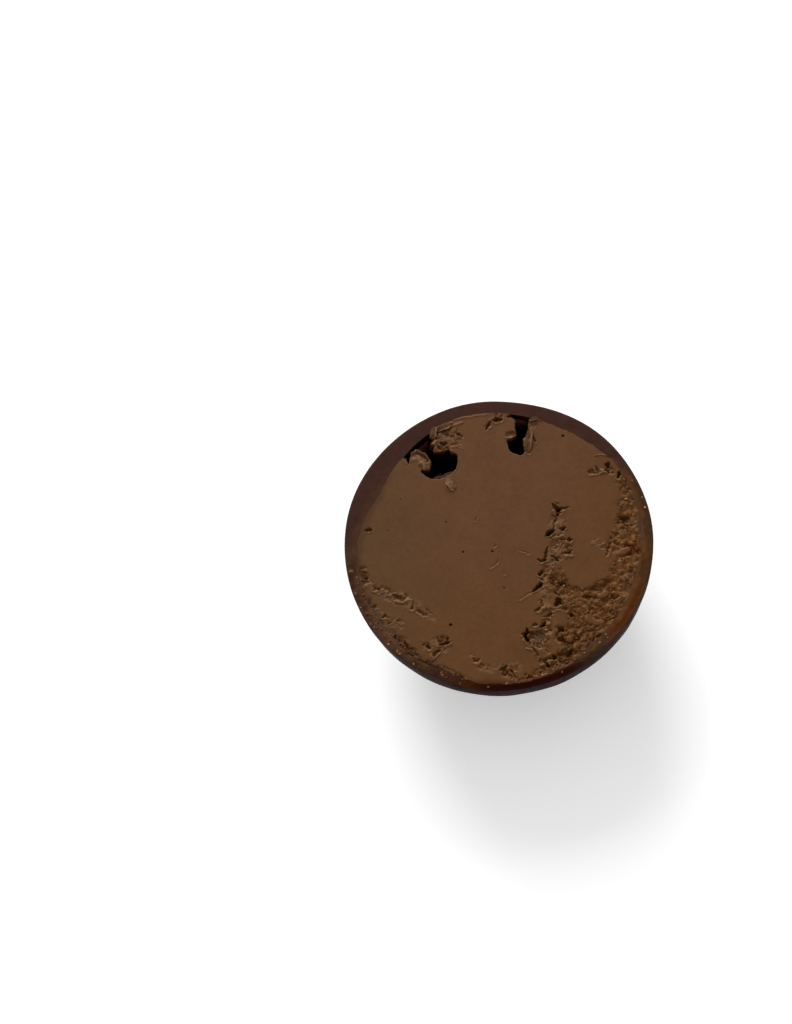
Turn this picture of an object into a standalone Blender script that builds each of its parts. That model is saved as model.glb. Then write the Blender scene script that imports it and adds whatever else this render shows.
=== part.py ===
"""A filled chocolate ball cut in half, lying on its round side with the cut face up.

The dark shell is a half ball with an uneven wall and a small flat spot to rest on. The
praline fills it to the cut face, where the knife left it smooth in the middle, crumbled
towards one side, cracked in lines, and open in two deep air holes beside the shell.
The origin is under the middle of the face, on the surface that the half rests on.
"""

import math

import bmesh
import bpy
import numpy as np
from mathutils import Matrix

# Sizes are in millimetres, and MM turns them into metres
MM = 0.001
MEAN_RADIUS = 15.0
DOME_DEPTH = 14.25
FLAT_RADIUS = 2.4
WALL = 1.4
GAP = 0.3
FACE_HEIGHT = DOME_DEPTH * math.sqrt(1.0 - (FLAT_RADIUS / MEAN_RADIUS) ** 2)

# Outer radius of the cut face and width of the shell's cut wall, by angle round the face
RIM_RADIUS = (
    (0, 14.95), (15, 14.85), (40, 15.03), (72, 14.92), (90, 15.25), (120, 15.22),
    (150, 15.2), (175, 14.97), (225, 14.95), (270, 14.95), (315, 15.0),
)
WALL_WIDTH = (
    (0, 1.0), (25, 0.95), (40, 1.4), (55, 1.6), (75, 1.3), (100, 1.25), (122, 2.0),
    (148, 2.4), (162, 1.5), (175, 1.2), (230, 1.3), (255, 0.8), (290, 0.8), (325, 1.3),
)

# Air holes: outline of the mouth, then the depth
LEFT_HOLE = (
    (-2.35, 9.7), (-2.6, 8.8), (-3.3, 8.1), (-4.5, 7.85), (-5.5, 8.1), (-6.25, 8.8),
    (-6.7, 9.7), (-7.45, 10.3), (-7.5, 11.2), (-6.7, 12.0), (-5.8, 12.75),
    (-4.9, 13.1), (-4.5, 12.5), (-4.6, 11.7), (-4.4, 10.85), (-3.3, 10.75),
    (-2.6, 10.45),
)
RIGHT_HOLE = (
    (2.6, 10.1), (2.75, 9.5), (3.2, 9.0), (3.95, 8.65), (4.35, 8.9), (4.45, 9.9),
    (4.95, 11.0), (5.2, 11.9), (5.4, 12.5), (4.4, 13.0), (3.2, 12.95), (3.75, 12.4),
    (3.75, 11.7), (3.7, 10.95), (3.1, 10.65),
)
HOLES = ((LEFT_HOLE, 5.6), (RIGHT_HOLE, 5.0))
HOLE_WALL = 0.35
HOLE_ROUNDING = 1.4
SNAP = 0.1
PROBE = 0.02

# Crumbled stretches: half width, then the middle line
CRUMBLED = (
    (0.8, ((13.1, 3.7), (13.1, 1.2), (12.7, -1.0), (12.3, -3.2), (12.3, -5.0))),
    (0.5, ((9.4, -1.9), (10.5, -2.6), (11.6, -2.0))),
    (1.2, ((12.0, -5.8), (10.8, -7.6), (9.0, -9.2), (7.4, -10.6))),
    (1.7, ((9.4, -7.4), (7.4, -8.0), (6.2, -9.4), (5.6, -10.8))),
    (1.0, ((7.2, -11.6), (5.0, -12.3), (3.2, -12.9))),
    (0.6, ((3.2, -13.2), (1.6, -13.6), (-0.6, -13.6))),
    (0.5, ((4.7, -4.1), (5.3, -5.3), (5.2, -6.8), (5.9, -7.6))),
    (0.4, ((-3.9, 11.6), (-2.8, 11.2))),
    (0.5, ((-10.6, -7.4), (-10.4, -9.0), (-9.7, -10.2))),
    (0.4, ((-13.3, -0.6), (-13.0, -2.0))),
    (0.4, ((-12.3, -4.6), (-11.6, -6.0), (-10.6, -6.6))),
)
CRUMB_SIZE = 0.85
CRUMB_DROP = 1.0

# Cracks: half width, depth, then the line
CRACKS = (
    (0.3, 0.9, ((5.9, 3.0), (6.2, 2.4), (5.85, 1.1), (5.4, 0.4), (4.8, 0.0))),
    (0.2, 0.6, ((6.1, 2.3), (7.3, 2.4))),
    (0.25, 0.7, ((6.0, -0.9), (6.8, -1.0))),
    (0.25, 0.7, ((4.5, -1.5), (4.2, -2.3), (3.8, -2.7))),
    (0.25, 0.7, ((5.0, -2.5), (5.8, -3.1), (6.5, -2.3))),
    (0.3, 1.1, ((3.5, -3.9), (3.7, -4.4), (3.0, -5.1), (2.3, -5.6))),
    (0.3, 0.9, ((2.9, -7.0), (2.4, -7.6))),
    (0.3, 0.9, ((3.8, -8.2), (3.2, -8.9), (1.8, -9.1), (0.9, -9.8), (1.0, -10.7))),
    (0.2, 0.6, ((1.35, -11.3), (1.7, -12.4))),
    (0.3, 0.7, ((-12.4, -2.0), (-11.6, -2.7), (-10.3, -3.5), (-9.4, -4.4))),
    (0.25, 0.5, ((-9.4, -5.0), (-8.5, -5.6), (-7.4, -6.5))),
    (0.3, 0.6, ((-8.5, -9.2), (-7.3, -8.9), (-6.4, -8.9))),
    (0.3, 0.6, ((-8.4, -10.4), (-7.7, -10.0))),
    (0.25, 0.6, ((-2.2, -12.9), (-1.5, -12.7), (-0.9, -13.2))),
    (0.3, 0.8, ((11.6, 5.3), (12.0, 5.9))),
    (0.25, 0.8, ((12.6, 4.5), (12.9, 5.1))),
    (0.25, 0.6, ((1.1, 12.3), (1.5, 12.8), (2.3, 13.1))),
)

# Pits: x, y, half length, half width, turn in degrees, depth
PITS = (
    (4.65, -6.95, 0.45, 0.38, 0, 1.0),
    (1.9, -10.5, 1.0, 0.75, -25, 0.7),
    (3.0, -12.5, 0.6, 0.35, 0, 1.0),
    (-10.3, -3.5, 0.85, 0.45, -25, 0.9),
    (-4.1, -11.4, 0.35, 0.5, 0, 0.6),
    (-12.2, 3.85, 0.45, 0.3, 0, 0.5),
    (-3.4, 11.5, 0.5, 0.35, 0, 0.9),
    (10.95, 5.6, 0.3, 0.35, 0, 0.5),
)

# Flakes the knife turned up: x, y, z above the face, half sizes along, across and up, turn
FLAKES = (
    (-6.25, 10.05, -0.12, 1.2, 0.95, 0.42, 60),
    (-3.35, 12.75, 0.0, 1.25, 0.55, 0.3, 20),
    (-3.55, 6.9, 0.06, 0.8, 0.45, 0.22, -62),
    (4.95, 9.85, -0.05, 0.95, 0.4, 0.3, 72),
    (3.1, 11.15, -0.3, 0.55, 0.45, 0.4, 20),
    (5.8, 12.05, 0.02, 0.6, 0.35, 0.22, -15),
)
FLAKE_SIDES = 10
FLAKE_RINGS = 6

# Mesh density: cells across the face, and the zones where they are split again
FACE_CELLS = 35
SHELL_STEPS = 72
SHELL_RINGS = 10
FILLING_RINGS = 5
FOOT_SLOPE = math.radians(78.0)
NOISE_SIZE = 64

dice = np.random.default_rng(11)
LATTICE = dice.uniform(-1.0, 1.0, (NOISE_SIZE, NOISE_SIZE))
SEED_X = dice.uniform(0.15, 0.85, (NOISE_SIZE, NOISE_SIZE))
SEED_Y = dice.uniform(0.15, 0.85, (NOISE_SIZE, NOISE_SIZE))
SEED_HEIGHT = dice.uniform(0.0, 1.0, (NOISE_SIZE, NOISE_SIZE))


def clear_scene():
    for obj in list(bpy.data.objects):
        bpy.data.objects.remove(obj, do_unlink=True)


def material(name, colour, roughness):
    made = bpy.data.materials.new(name)
    made.use_nodes = True
    shader = made.node_tree.nodes["Principled BSDF"]
    shader.inputs["Base Color"].default_value = (*colour, 1.0)
    shader.inputs["Roughness"].default_value = roughness
    shader.inputs["Metallic"].default_value = 0.0
    return made


def smooth(low, high, value):
    share = np.clip((value - low) / (high - low), 0.0, 1.0)
    return share * share * (3.0 - 2.0 * share)


def around(angle, table):
    """Value at an angle in radians, read from a table by degrees and rounded off."""
    degrees, values = zip(*table)
    turned = [np.degrees(angle) + step for step in (-8.0, -4.0, 0.0, 4.0, 8.0)]
    return sum(np.interp(at, degrees, values, period=360.0) for at in turned) / len(turned)


def noise(x, y, octaves=1):
    """Smooth noise of about -1 to 1 with bumps one unit apart."""
    total = np.zeros_like(x)
    for octave in range(octaves):
        scale = 2.0**octave
        column, row = np.floor(x * scale), np.floor(y * scale)
        across, along = x * scale - column, y * scale - row
        across = across * across * (3.0 - 2.0 * across)
        along = along * along * (3.0 - 2.0 * along)
        i, j = column.astype(int) % NOISE_SIZE, row.astype(int) % NOISE_SIZE
        near, far = (i + 1) % NOISE_SIZE, (j + 1) % NOISE_SIZE
        low = LATTICE[i, j] * (1.0 - across) + LATTICE[near, j] * across
        high = LATTICE[i, far] * (1.0 - across) + LATTICE[near, far] * across
        total += (low * (1.0 - along) + high * along) / scale
    return total


def crumbs(x, y):
    """Height of packed crumbs, 0 in the crevices to 1 on the highest tops."""
    column, row = np.floor(x), np.floor(y)
    first = np.full_like(x, 9.0)
    second = np.full_like(x, 9.0)
    height = np.zeros_like(x)
    for step_x in (-1, 0, 1):
        for step_y in (-1, 0, 1):
            i = (column + step_x).astype(int) % NOISE_SIZE
            j = (row + step_y).astype(int) % NOISE_SIZE
            dx = column + step_x + SEED_X[i, j] - x
            dy = row + step_y + SEED_Y[i, j] - y
            distance = np.hypot(dx, dy)
            closer = distance < first
            second = np.where(closer, first, np.minimum(second, distance))
            height = np.where(closer, SEED_HEIGHT[i, j], height)
            first = np.minimum(first, distance)
    return smooth(0.0, 0.45, second - first) * (0.35 + 0.65 * height)


def line_distance(x, y, points):
    """Distance to an open line through the points."""
    nearest = np.full_like(x, 1e3)
    for (ax, ay), (bx, by) in zip(points, points[1:]):
        length = (bx - ax) ** 2 + (by - ay) ** 2
        share = np.clip(((x - ax) * (bx - ax) + (y - ay) * (by - ay)) / length, 0.0, 1.0)
        away = np.hypot(x - ax - share * (bx - ax), y - ay - share * (by - ay))
        nearest = np.minimum(nearest, away)
    return nearest


def rounded_outline(points, steps=4):
    """A closed curve through the points, as a denser outline."""
    corners = np.array(points)
    before, after = np.roll(corners, 1, axis=0), np.roll(corners, -1, axis=0)
    beyond = np.roll(corners, -2, axis=0)
    curve = []
    for step in range(steps):
        t = step / steps
        curve.append(
            0.5 * (
                2.0 * corners
                + (after - before) * t
                + (2.0 * before - 5.0 * corners + 4.0 * after - beyond) * t**2
                + (3.0 * corners - before - 3.0 * after + beyond) * t**3
            )
        )
    return np.stack(curve, axis=1).reshape(-1, 2)


def inside_distance(x, y, outline):
    """Distance from a closed outline, above zero inside it."""
    closed = [tuple(point) for point in outline]
    closed.append(closed[0])
    inside = np.zeros(x.shape, bool)
    for (ax, ay), (bx, by) in zip(closed, closed[1:]):
        if ay == by:
            continue
        crosses = (ay > y) != (by > y)
        inside ^= crosses & (x < (bx - ax) * (y - ay) / (by - ay) + ax)
    return np.where(inside, 1.0, -1.0) * line_distance(x, y, closed)


HOLE_OUTLINES = [(rounded_outline(points), depth) for points, depth in HOLES]


def snapped(x, y, outline):
    """Moves the points nearest an outline on to it, so that its edge comes out clean."""
    into = inside_distance(x, y, outline)
    slope_x = inside_distance(x + PROBE, y, outline) - inside_distance(x - PROBE, y, outline)
    slope_y = inside_distance(x, y + PROBE, outline) - inside_distance(x, y - PROBE, outline)
    move = np.where(np.abs(into) < SNAP, into / (2.0 * PROBE), 0.0)
    return x - move * slope_x, y - move * slope_y


def crumbled(x, y):
    """0 on the smooth cut to 1 where the filling crumbled away."""
    reach = np.full_like(x, -9.0)
    for half_width, points in CRUMBLED:
        reach = np.maximum(reach, half_width - line_distance(x, y, points))
    return smooth(-0.2, 0.35, reach + 0.35 * noise(x * 1.1, y * 1.1, 2))


def relief(x, y):
    """Height of the cut face of the filling above the knife's plane."""
    ragged_x = x + 0.14 * noise(x * 1.6 + 5.3, y * 1.6, 2)
    ragged_y = y + 0.14 * noise(x * 1.6, y * 1.6 + 8.1, 2)
    z = 0.04 * noise(x * 0.3, y * 0.3)
    loose = crumbs(ragged_x / CRUMB_SIZE, ragged_y / CRUMB_SIZE)
    z = z - crumbled(x, y) * CRUMB_DROP * (1.0 - np.minimum(loose * 1.25, 1.0))
    for half_width, depth, points in CRACKS:
        share = line_distance(ragged_x, ragged_y, points) / half_width
        z = np.minimum(z, -depth * (1.0 - share**2))
    for px, py, long, wide, turn, depth in PITS:
        c, s = math.cos(math.radians(turn)), math.sin(math.radians(turn))
        dx, dy = ragged_x - px, ragged_y - py
        share = np.hypot((dx * c + dy * s) / long, (dy * c - dx * s) / wide)
        z = np.minimum(z, -depth * (1.0 - share**2))
    for outline, depth in HOLE_OUTLINES:
        into = inside_distance(x, y, outline)
        floor = -depth * (0.7 + 0.3 * smooth(0.0, HOLE_ROUNDING, into)) + 0.2 * noise(x, y)
        z = z + (floor - z) * smooth(0.0, HOLE_WALL, into)
    return z


def needs_detail(x, y, cell):
    """True where a face of this cell size is too coarse for what it shows."""
    at_edge = np.zeros(x.shape, bool)
    for outline, _ in HOLE_OUTLINES:
        at_edge |= np.abs(inside_distance(x, y, outline) - 0.5 * HOLE_WALL) < 0.7 * cell
    for half_width, _, points in CRACKS:
        at_edge |= line_distance(x, y, points) < half_width + 0.35 * cell
    for px, py, long, wide, _, _ in PITS:
        at_edge |= np.hypot(x - px, y - py) < max(long, wide) + 0.2 * cell
    if cell > 0.6:
        at_edge |= crumbled(x, y) > 0.3
    return at_edge


def wall_at(angle, slope):
    """Width of the shell's wall at an angle round it, slope 0 at the rim, 90 at the foot."""
    share = smooth(0.0, math.radians(40.0), slope)
    return around(angle, WALL_WIDTH) * (1.0 - share) + WALL * share


def inner_radius(angle, slope, clearance=0.0):
    rim = around(angle, RIM_RADIUS) - wall_at(angle, slope) - clearance
    return rim * np.cos(slope)


def square_to_disc(u, v):
    """Takes a square of -1 to 1 to a round disc of radius 1."""
    return u * np.sqrt(1.0 - 0.5 * v * v), v * np.sqrt(1.0 - 0.5 * u * u)


def to_object(bm, name, finish, sharp_degrees):
    """Turns the bmesh, in millimetres from the face's middle, into an object in metres."""
    bmesh.ops.translate(bm, verts=bm.verts, vec=(0.0, 0.0, FACE_HEIGHT))
    bmesh.ops.scale(bm, verts=bm.verts, vec=(MM, MM, MM))
    bmesh.ops.recalc_face_normals(bm, faces=bm.faces)
    mesh = bpy.data.meshes.new(name)
    bm.to_mesh(mesh)
    bm.free()
    mesh.shade_smooth()
    mesh.set_sharp_from_angle(angle=math.radians(sharp_degrees))
    mesh.materials.append(finish)
    obj = bpy.data.objects.new(name, mesh)
    bpy.context.scene.collection.objects.link(obj)
    return obj


def make_shell():
    """The half shell: a wall's profile spun round, then made uneven."""
    inner_depth = DOME_DEPTH - WALL
    inner_rim = MEAN_RADIUS - WALL
    foot = math.acos(FLAT_RADIUS / MEAN_RADIUS)
    slopes = [foot * step / SHELL_RINGS for step in range(SHELL_RINGS + 1)]
    profile = [(0.0, -FACE_HEIGHT)]
    profile += [
        (MEAN_RADIUS * math.cos(slope), -DOME_DEPTH * math.sin(slope))
        for slope in reversed(slopes)
    ]
    profile += [(inner_rim * math.cos(slope), -inner_depth * math.sin(slope)) for slope in slopes]
    profile.append((0.0, -inner_depth))
    bm = bmesh.new()
    ring = [bm.verts.new((radius, 0.0, z)) for radius, z in profile]
    edges = [bm.edges.new(pair) for pair in zip(ring, ring[1:])]
    bmesh.ops.spin(
        bm, geom=ring + edges, cent=(0, 0, 0), axis=(0, 0, 1), angle=math.tau,
        steps=SHELL_STEPS, use_merge=True,
    )
    bmesh.ops.remove_doubles(bm, verts=bm.verts, dist=0.001)
    for vert in bm.verts:
        radius = math.hypot(vert.co.x, vert.co.y)
        if radius < 0.01:
            continue
        angle = math.atan2(vert.co.y, vert.co.x)
        outward = (radius / MEAN_RADIUS) ** 2 + (vert.co.z / DOME_DEPTH) ** 2
        if outward > 0.95:
            wanted = radius * float(around(angle, RIM_RADIUS)) / MEAN_RADIUS
        else:
            slope = math.asin(min(1.0, -vert.co.z / inner_depth))
            wanted = float(inner_radius(angle, slope))
        vert.co.x *= wanted / radius
        vert.co.y *= wanted / radius
    dark = material("dark_chocolate", (0.040, 0.019, 0.013), 0.42)
    return to_object(bm, "shell", dark, 40.0)


def split_where_detailed(bm):
    """Halves the cells of the face's grid twice, where the relief asks for it."""
    cell = 2.0 * MEAN_RADIUS / FACE_CELLS
    for _ in range(2):
        centres = np.array([face.calc_center_median()[:2] for face in bm.faces])
        sides = np.array([face.calc_area() for face in bm.faces]) ** 0.5 * MEAN_RADIUS
        x, y = square_to_disc(centres[:, 0], centres[:, 1])
        wanted = needs_detail(x * MEAN_RADIUS, y * MEAN_RADIUS, cell)
        wanted &= sides < 1.2 * cell
        edges = {
            edge
            for face, chosen in zip(list(bm.faces), wanted)
            if chosen
            for edge in face.edges
        }
        bmesh.ops.subdivide_edges(bm, edges=list(edges), cuts=1, use_grid_fill=True)
        cell *= 0.5


def make_filling():
    """The praline: a disc of cells raised and sunk by the relief, then closed by a dome."""
    bm = bmesh.new()
    bmesh.ops.create_grid(bm, x_segments=FACE_CELLS, y_segments=FACE_CELLS, size=1.0)
    split_where_detailed(bm)
    bmesh.ops.triangulate(bm, faces=bm.faces, quad_method="BEAUTY", ngon_method="BEAUTY")
    bm.verts.ensure_lookup_table()
    square = np.array([vert.co[:2] for vert in bm.verts])
    x, y = square_to_disc(square[:, 0], square[:, 1])
    angle = np.arctan2(y, x)
    depth = DOME_DEPTH - WALL - GAP
    level = inner_radius(angle, np.zeros_like(angle), GAP)
    x, y = x * level, y * level
    for outline, _ in HOLE_OUTLINES:
        x, y = snapped(x, y, outline)
    z = relief(x, y)
    slope = np.arcsin(np.clip(-z / depth, 0.0, 1.0))
    room = inner_radius(angle, slope, GAP) / np.maximum(np.hypot(x, y), 1e-6)
    x, y = x * np.minimum(1.0, room), y * np.minimum(1.0, room)
    rim = [vert for vert in bm.verts if vert.is_boundary]
    for vert in rim:
        z[vert.index] = min(z[vert.index], 0.0)
    for vert in bm.verts:
        vert.co = (x[vert.index], y[vert.index], z[vert.index])
    close_with_dome(bm, depth)
    praline = material("praline", (0.118, 0.056, 0.026), 0.5)
    filling = to_object(bm, "filling", praline, 40.0)
    add_flakes(filling, praline)
    return filling


def close_with_dome(bm, depth):
    """Carries the edge of the face down in rings and closes it at the foot."""
    edges = [edge for edge in bm.edges if edge.is_boundary]
    first_slope = {
        vert: math.asin(min(1.0, max(0.0, -vert.co.z / depth)))
        for edge in edges
        for vert in edge.verts
    }
    for ring in range(1, FILLING_RINGS + 1):
        made = bmesh.ops.extrude_edge_only(bm, edges=edges)["geom"]
        edges = [item for item in made if isinstance(item, bmesh.types.BMEdge)]
        lower = {}
        for vert in (item for item in made if isinstance(item, bmesh.types.BMVert)):
            above = [edge.other_vert(vert) for edge in vert.link_edges]
            lower[vert] = next(first_slope[other] for other in above if other in first_slope)
        for vert, first in lower.items():
            angle = math.atan2(vert.co.y, vert.co.x)
            slope = first + (FOOT_SLOPE - first) * ring / FILLING_RINGS
            radius = float(inner_radius(angle, slope, GAP))
            vert.co.x = radius * math.cos(angle)
            vert.co.y = radius * math.sin(angle)
            vert.co.z = -depth * math.sin(slope)
        first_slope = lower
    bmesh.ops.contextual_create(bm, geom=edges)


def add_flakes(filling, finish):
    """Joins the turned up flakes to the filling's face."""
    pieces = bpy.data.collections.new("flakes")
    bpy.context.scene.collection.children.link(pieces)
    for number, (x, y, z, long, wide, high, turn) in enumerate(FLAKES):
        bm = bmesh.new()
        bmesh.ops.create_uvsphere(bm, u_segments=FLAKE_SIDES, v_segments=FLAKE_RINGS, radius=1.0)
        place = Matrix.Translation((x, y, z)) @ Matrix.Rotation(math.radians(turn), 4, "Z")
        size = Matrix.Diagonal((long, wide, high, 1.0))
        bmesh.ops.transform(bm, verts=bm.verts, matrix=place @ size)
        for vert in bm.verts:
            uneven = noise(np.array([vert.co.x * 1.3]), np.array([vert.co.y * 1.3 + number]))
            vert.co.z += 0.12 * float(uneven[0])
            room = float(inner_radius(math.atan2(vert.co.y, vert.co.x), 0.0, GAP))
            reach = min(1.0, room / math.hypot(vert.co.x, vert.co.y))
            vert.co.x *= reach
            vert.co.y *= reach
        flake = to_object(bm, f"flake_{number}", finish, 60.0)
        bpy.context.scene.collection.objects.unlink(flake)
        pieces.objects.link(flake)
    join = filling.modifiers.new("flakes", "BOOLEAN")
    join.operation = "UNION"
    join.operand_type = "COLLECTION"
    join.collection = pieces
    join.solver = "MANIFOLD"
    bpy.context.view_layer.objects.active = filling
    filling.select_set(True)
    bpy.ops.object.modifier_apply(modifier=join.name)
    for flake in list(pieces.objects):
        bpy.data.objects.remove(flake, do_unlink=True)
    bpy.data.collections.remove(pieces)
    keep_largest_piece(filling.data)


def keep_largest_piece(mesh):
    """Drops loose scraps and fills sealed hollows, by keeping the largest joined surface."""
    bm = bmesh.new()
    bm.from_mesh(mesh)
    left = set(bm.faces)
    pieces = []
    while left:
        piece = {left.pop()}
        edge_of_piece = set(piece)
        while edge_of_piece:
            beside = {
                face
                for grown in edge_of_piece
                for edge in grown.edges
                for face in edge.link_faces
            }
            edge_of_piece = beside & left
            left -= edge_of_piece
            piece |= edge_of_piece
        pieces.append(piece)
    largest = max(pieces, key=len)
    scraps = [face for face in bm.faces if face not in largest]
    bmesh.ops.delete(bm, geom=scraps, context="FACES")
    bm.to_mesh(mesh)
    bm.free()


def main():
    clear_scene()
    make_shell()
    make_filling()


main()
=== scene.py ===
"""Looks of a filled chocolate ball cut in half: its shell, its praline and what the knife left.

The face of the praline is a disc of cells raised and sunk by named features: two air holes
with flakes at their mouths, crumbled stretches, cracks, pits and ridges. Loose crumbs and
sugar grains lie on it, and the shell round it is smeared where the knife dragged across.
"""

import math

import bmesh
import bpy
import numpy as np
from mathutils import Matrix, Quaternion, Vector


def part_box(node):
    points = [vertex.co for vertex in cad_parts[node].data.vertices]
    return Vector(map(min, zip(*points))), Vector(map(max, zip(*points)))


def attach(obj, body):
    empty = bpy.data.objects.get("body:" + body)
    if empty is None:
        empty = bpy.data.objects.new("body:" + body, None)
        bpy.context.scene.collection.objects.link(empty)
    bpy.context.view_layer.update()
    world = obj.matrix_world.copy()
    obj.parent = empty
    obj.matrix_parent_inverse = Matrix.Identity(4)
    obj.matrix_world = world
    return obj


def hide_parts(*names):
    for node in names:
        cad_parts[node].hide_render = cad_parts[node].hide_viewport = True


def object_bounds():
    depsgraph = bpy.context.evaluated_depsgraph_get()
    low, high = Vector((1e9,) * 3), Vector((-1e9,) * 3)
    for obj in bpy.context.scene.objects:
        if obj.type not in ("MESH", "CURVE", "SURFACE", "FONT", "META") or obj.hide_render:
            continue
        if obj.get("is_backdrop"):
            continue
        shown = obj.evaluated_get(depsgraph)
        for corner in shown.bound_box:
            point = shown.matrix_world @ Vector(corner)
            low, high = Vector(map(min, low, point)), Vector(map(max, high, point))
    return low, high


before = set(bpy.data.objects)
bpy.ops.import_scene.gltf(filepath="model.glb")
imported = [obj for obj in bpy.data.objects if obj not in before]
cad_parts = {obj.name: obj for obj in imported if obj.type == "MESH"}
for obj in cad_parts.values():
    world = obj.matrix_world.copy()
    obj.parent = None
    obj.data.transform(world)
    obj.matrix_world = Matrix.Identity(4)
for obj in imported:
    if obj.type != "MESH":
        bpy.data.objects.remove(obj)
cad_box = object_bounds()

# Sizes are in millimetres from the middle of the cut face, and MM turns them into metres
MM = 0.001
FACE_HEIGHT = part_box("shell")[1].z / MM
MEAN_RADIUS = 15.0
FLAT_RADIUS = 2.4
DOME_DEPTH = FACE_HEIGHT / math.sqrt(1.0 - (FLAT_RADIUS / MEAN_RADIUS) ** 2)
WALL = 1.4

# Outer radius of the cut face and width of the shell's cut wall, by angle round the face
RIM_RADIUS = (
    (0, 14.95), (15, 14.85), (40, 15.03), (72, 14.92), (90, 15.25), (120, 15.22),
    (150, 15.2), (175, 14.97), (225, 14.95), (270, 14.95), (315, 15.0),
)
WALL_WIDTH = (
    (0, 1.0), (25, 0.95), (40, 1.4), (55, 1.6), (75, 1.3), (100, 1.25), (122, 2.0),
    (148, 2.4), (160, 1.6), (175, 1.1), (200, 1.0), (213, 1.0), (222, 0.8), (232, 1.1),
    (241, 1.2), (251, 0.5), (270, 0.5), (288, 0.55), (300, 1.0), (325, 1.3),
)

# The photograph's view: distance, tilt and roll of the camera, and where the face's middle
# falls in the frame, in pixels from its top left corner
FRAME_WIDE, FRAME_HIGH = 792, 1024
FACE_PIXEL = (498.2, 542.4)
PIXELS_PER_MM = 10.314
VIEW_DISTANCE = 250.0
VIEW_TILT = 22.0
VIEW_ROLL = 10.75
SENSOR = 36.0

# The window light's place from the middle of the face, its side and its watts, the sky's
# strength, half the floor's side and the little light that the floor gives off
WINDOW_PLACE = (-120.0, 950.0, 680.0)
WINDOW_SIZE = 640.0
WINDOW_WATTS = 10.8
SKY_STRENGTH = 0.58
FLOOR_REACH = 600.0
FLOOR_GLOW = 0.3

# Air holes: outline of the mouth, then the depth
LEFT_HOLE = (
    (-2.3, 9.65), (-2.5, 8.9), (-3.0, 8.2), (-3.9, 7.9), (-4.5, 7.7), (-5.3, 7.95),
    (-5.75, 8.3), (-6.2, 8.85), (-6.05, 9.15), (-5.6, 9.0), (-5.25, 9.2), (-5.1, 9.8),
    (-5.3, 10.45), (-5.75, 11.0), (-6.2, 11.25), (-6.75, 11.1), (-6.85, 10.7),
    (-7.3, 10.05), (-7.4, 10.7), (-7.6, 11.3), (-7.0, 11.9), (-6.4, 12.55), (-5.7, 12.85),
    (-5.0, 13.2), (-4.45, 13.05), (-4.55, 12.4), (-4.25, 12.0), (-4.75, 11.6),
    (-4.35, 11.3), (-4.55, 10.75), (-3.7, 10.7), (-3.05, 10.75), (-2.9, 10.35),
    (-2.45, 10.15),
)
RIGHT_HOLE = (
    (2.62, 10.3), (2.62, 9.9), (2.85, 9.2), (3.35, 8.85), (3.7, 8.66), (4.2, 8.72),
    (4.3, 9.5), (4.3, 10.15), (4.9, 10.6), (5.05, 11.3), (5.15, 11.9), (5.45, 12.55),
    (4.9, 12.9), (4.3, 13.1), (3.6, 13.2), (3.0, 12.95), (3.6, 12.75), (3.85, 12.3),
    (3.7, 11.9), (3.68, 11.2), (3.65, 10.9), (3.2, 10.6), (2.8, 10.6),
)
HOLES = ((LEFT_HOLE, 5.6), (RIGHT_HOLE, 5.0))
HOLE_WALL = 0.32
LIT_WALL = 0.17
HOLE_ROUNDING = 1.4

# What sits inside the mouths of the holes: height, then a tapered line as x, y, half width
SHELVES = (
    (-0.42, ((-5.25, 8.1, 0.12), (-4.4, 8.0, 0.36), (-3.6, 8.15, 0.32), (-2.9, 8.5, 0.08))),
    (-1.3, ((-4.8, 8.75, 0.12), (-4.45, 8.7, 0.28), (-4.3, 8.9, 0.1))),
    (-1.2, ((-7.1, 11.4, 0.3), (-6.3, 12.0, 0.5), (-5.3, 12.6, 0.5))),
    (-1.0, ((3.6, 13.0, 0.2), (4.6, 12.8, 0.4), (5.1, 12.3, 0.3))),
)

# Crumbled stretches, as tapered lines of x, y, half width
CRUMBLED = (
    ((13.2, 4.2, 0.3), (13.0, 3.0, 0.5), (13.1, 1.6, 0.6), (12.8, 0.2, 0.85)),
    ((12.8, 0.2, 0.85), (12.5, -1.2, 0.9), (12.1, -2.7, 1.4), (12.2, -4.3, 1.3)),
    ((12.2, -4.3, 1.3), (11.5, -5.9, 1.6), (10.4, -7.6, 2.0), (8.9, -9.2, 2.4)),
    ((8.9, -9.2, 2.4), (7.2, -10.2, 2.2), (5.9, -11.0, 1.5)),
    ((5.3, -4.9, 0.5), (5.6, -6.1, 0.5), (6.6, -7.2, 1.2), (7.6, -8.4, 2.1)),
    ((4.9, -4.3, 0.45), (4.4, -5.1, 0.55), (5.0, -6.4, 0.4), (5.0, -7.6, 0.4), (5.8, -8.8, 0.5)),
    ((6.5, -6.95, 0.7), (8.0, -7.0, 0.95), (9.6, -6.6, 0.9)),
    ((4.2, -9.9, 0.45), (4.6, -10.9, 0.8), (4.9, -11.8, 0.6)),
    ((5.6, -11.8, 0.9), (4.4, -12.8, 0.9), (3.2, -13.2, 0.7), (2.0, -13.6, 0.5)),
    ((2.0, -13.6, 0.5), (1.0, -13.8, 0.4), (-0.4, -13.9, 0.3)),
    ((6.1, -1.1, 0.25), (6.5, -1.9, 0.4), (6.5, -2.4, 0.3)),
    ((-13.6, -0.2, 0.3), (-13.4, -0.9, 0.3)),
    ((-10.9, -8.3, 0.25), (-10.6, -9.2, 0.3), (-10.2, -10.0, 0.25)),
    ((-9.0, -11.2, 0.2), (-7.6, -12.1, 0.3), (-6.4, -12.8, 0.25)),
    ((-1.7, -13.2, 0.35), (-1.2, -13.6, 0.2)),
)

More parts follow.
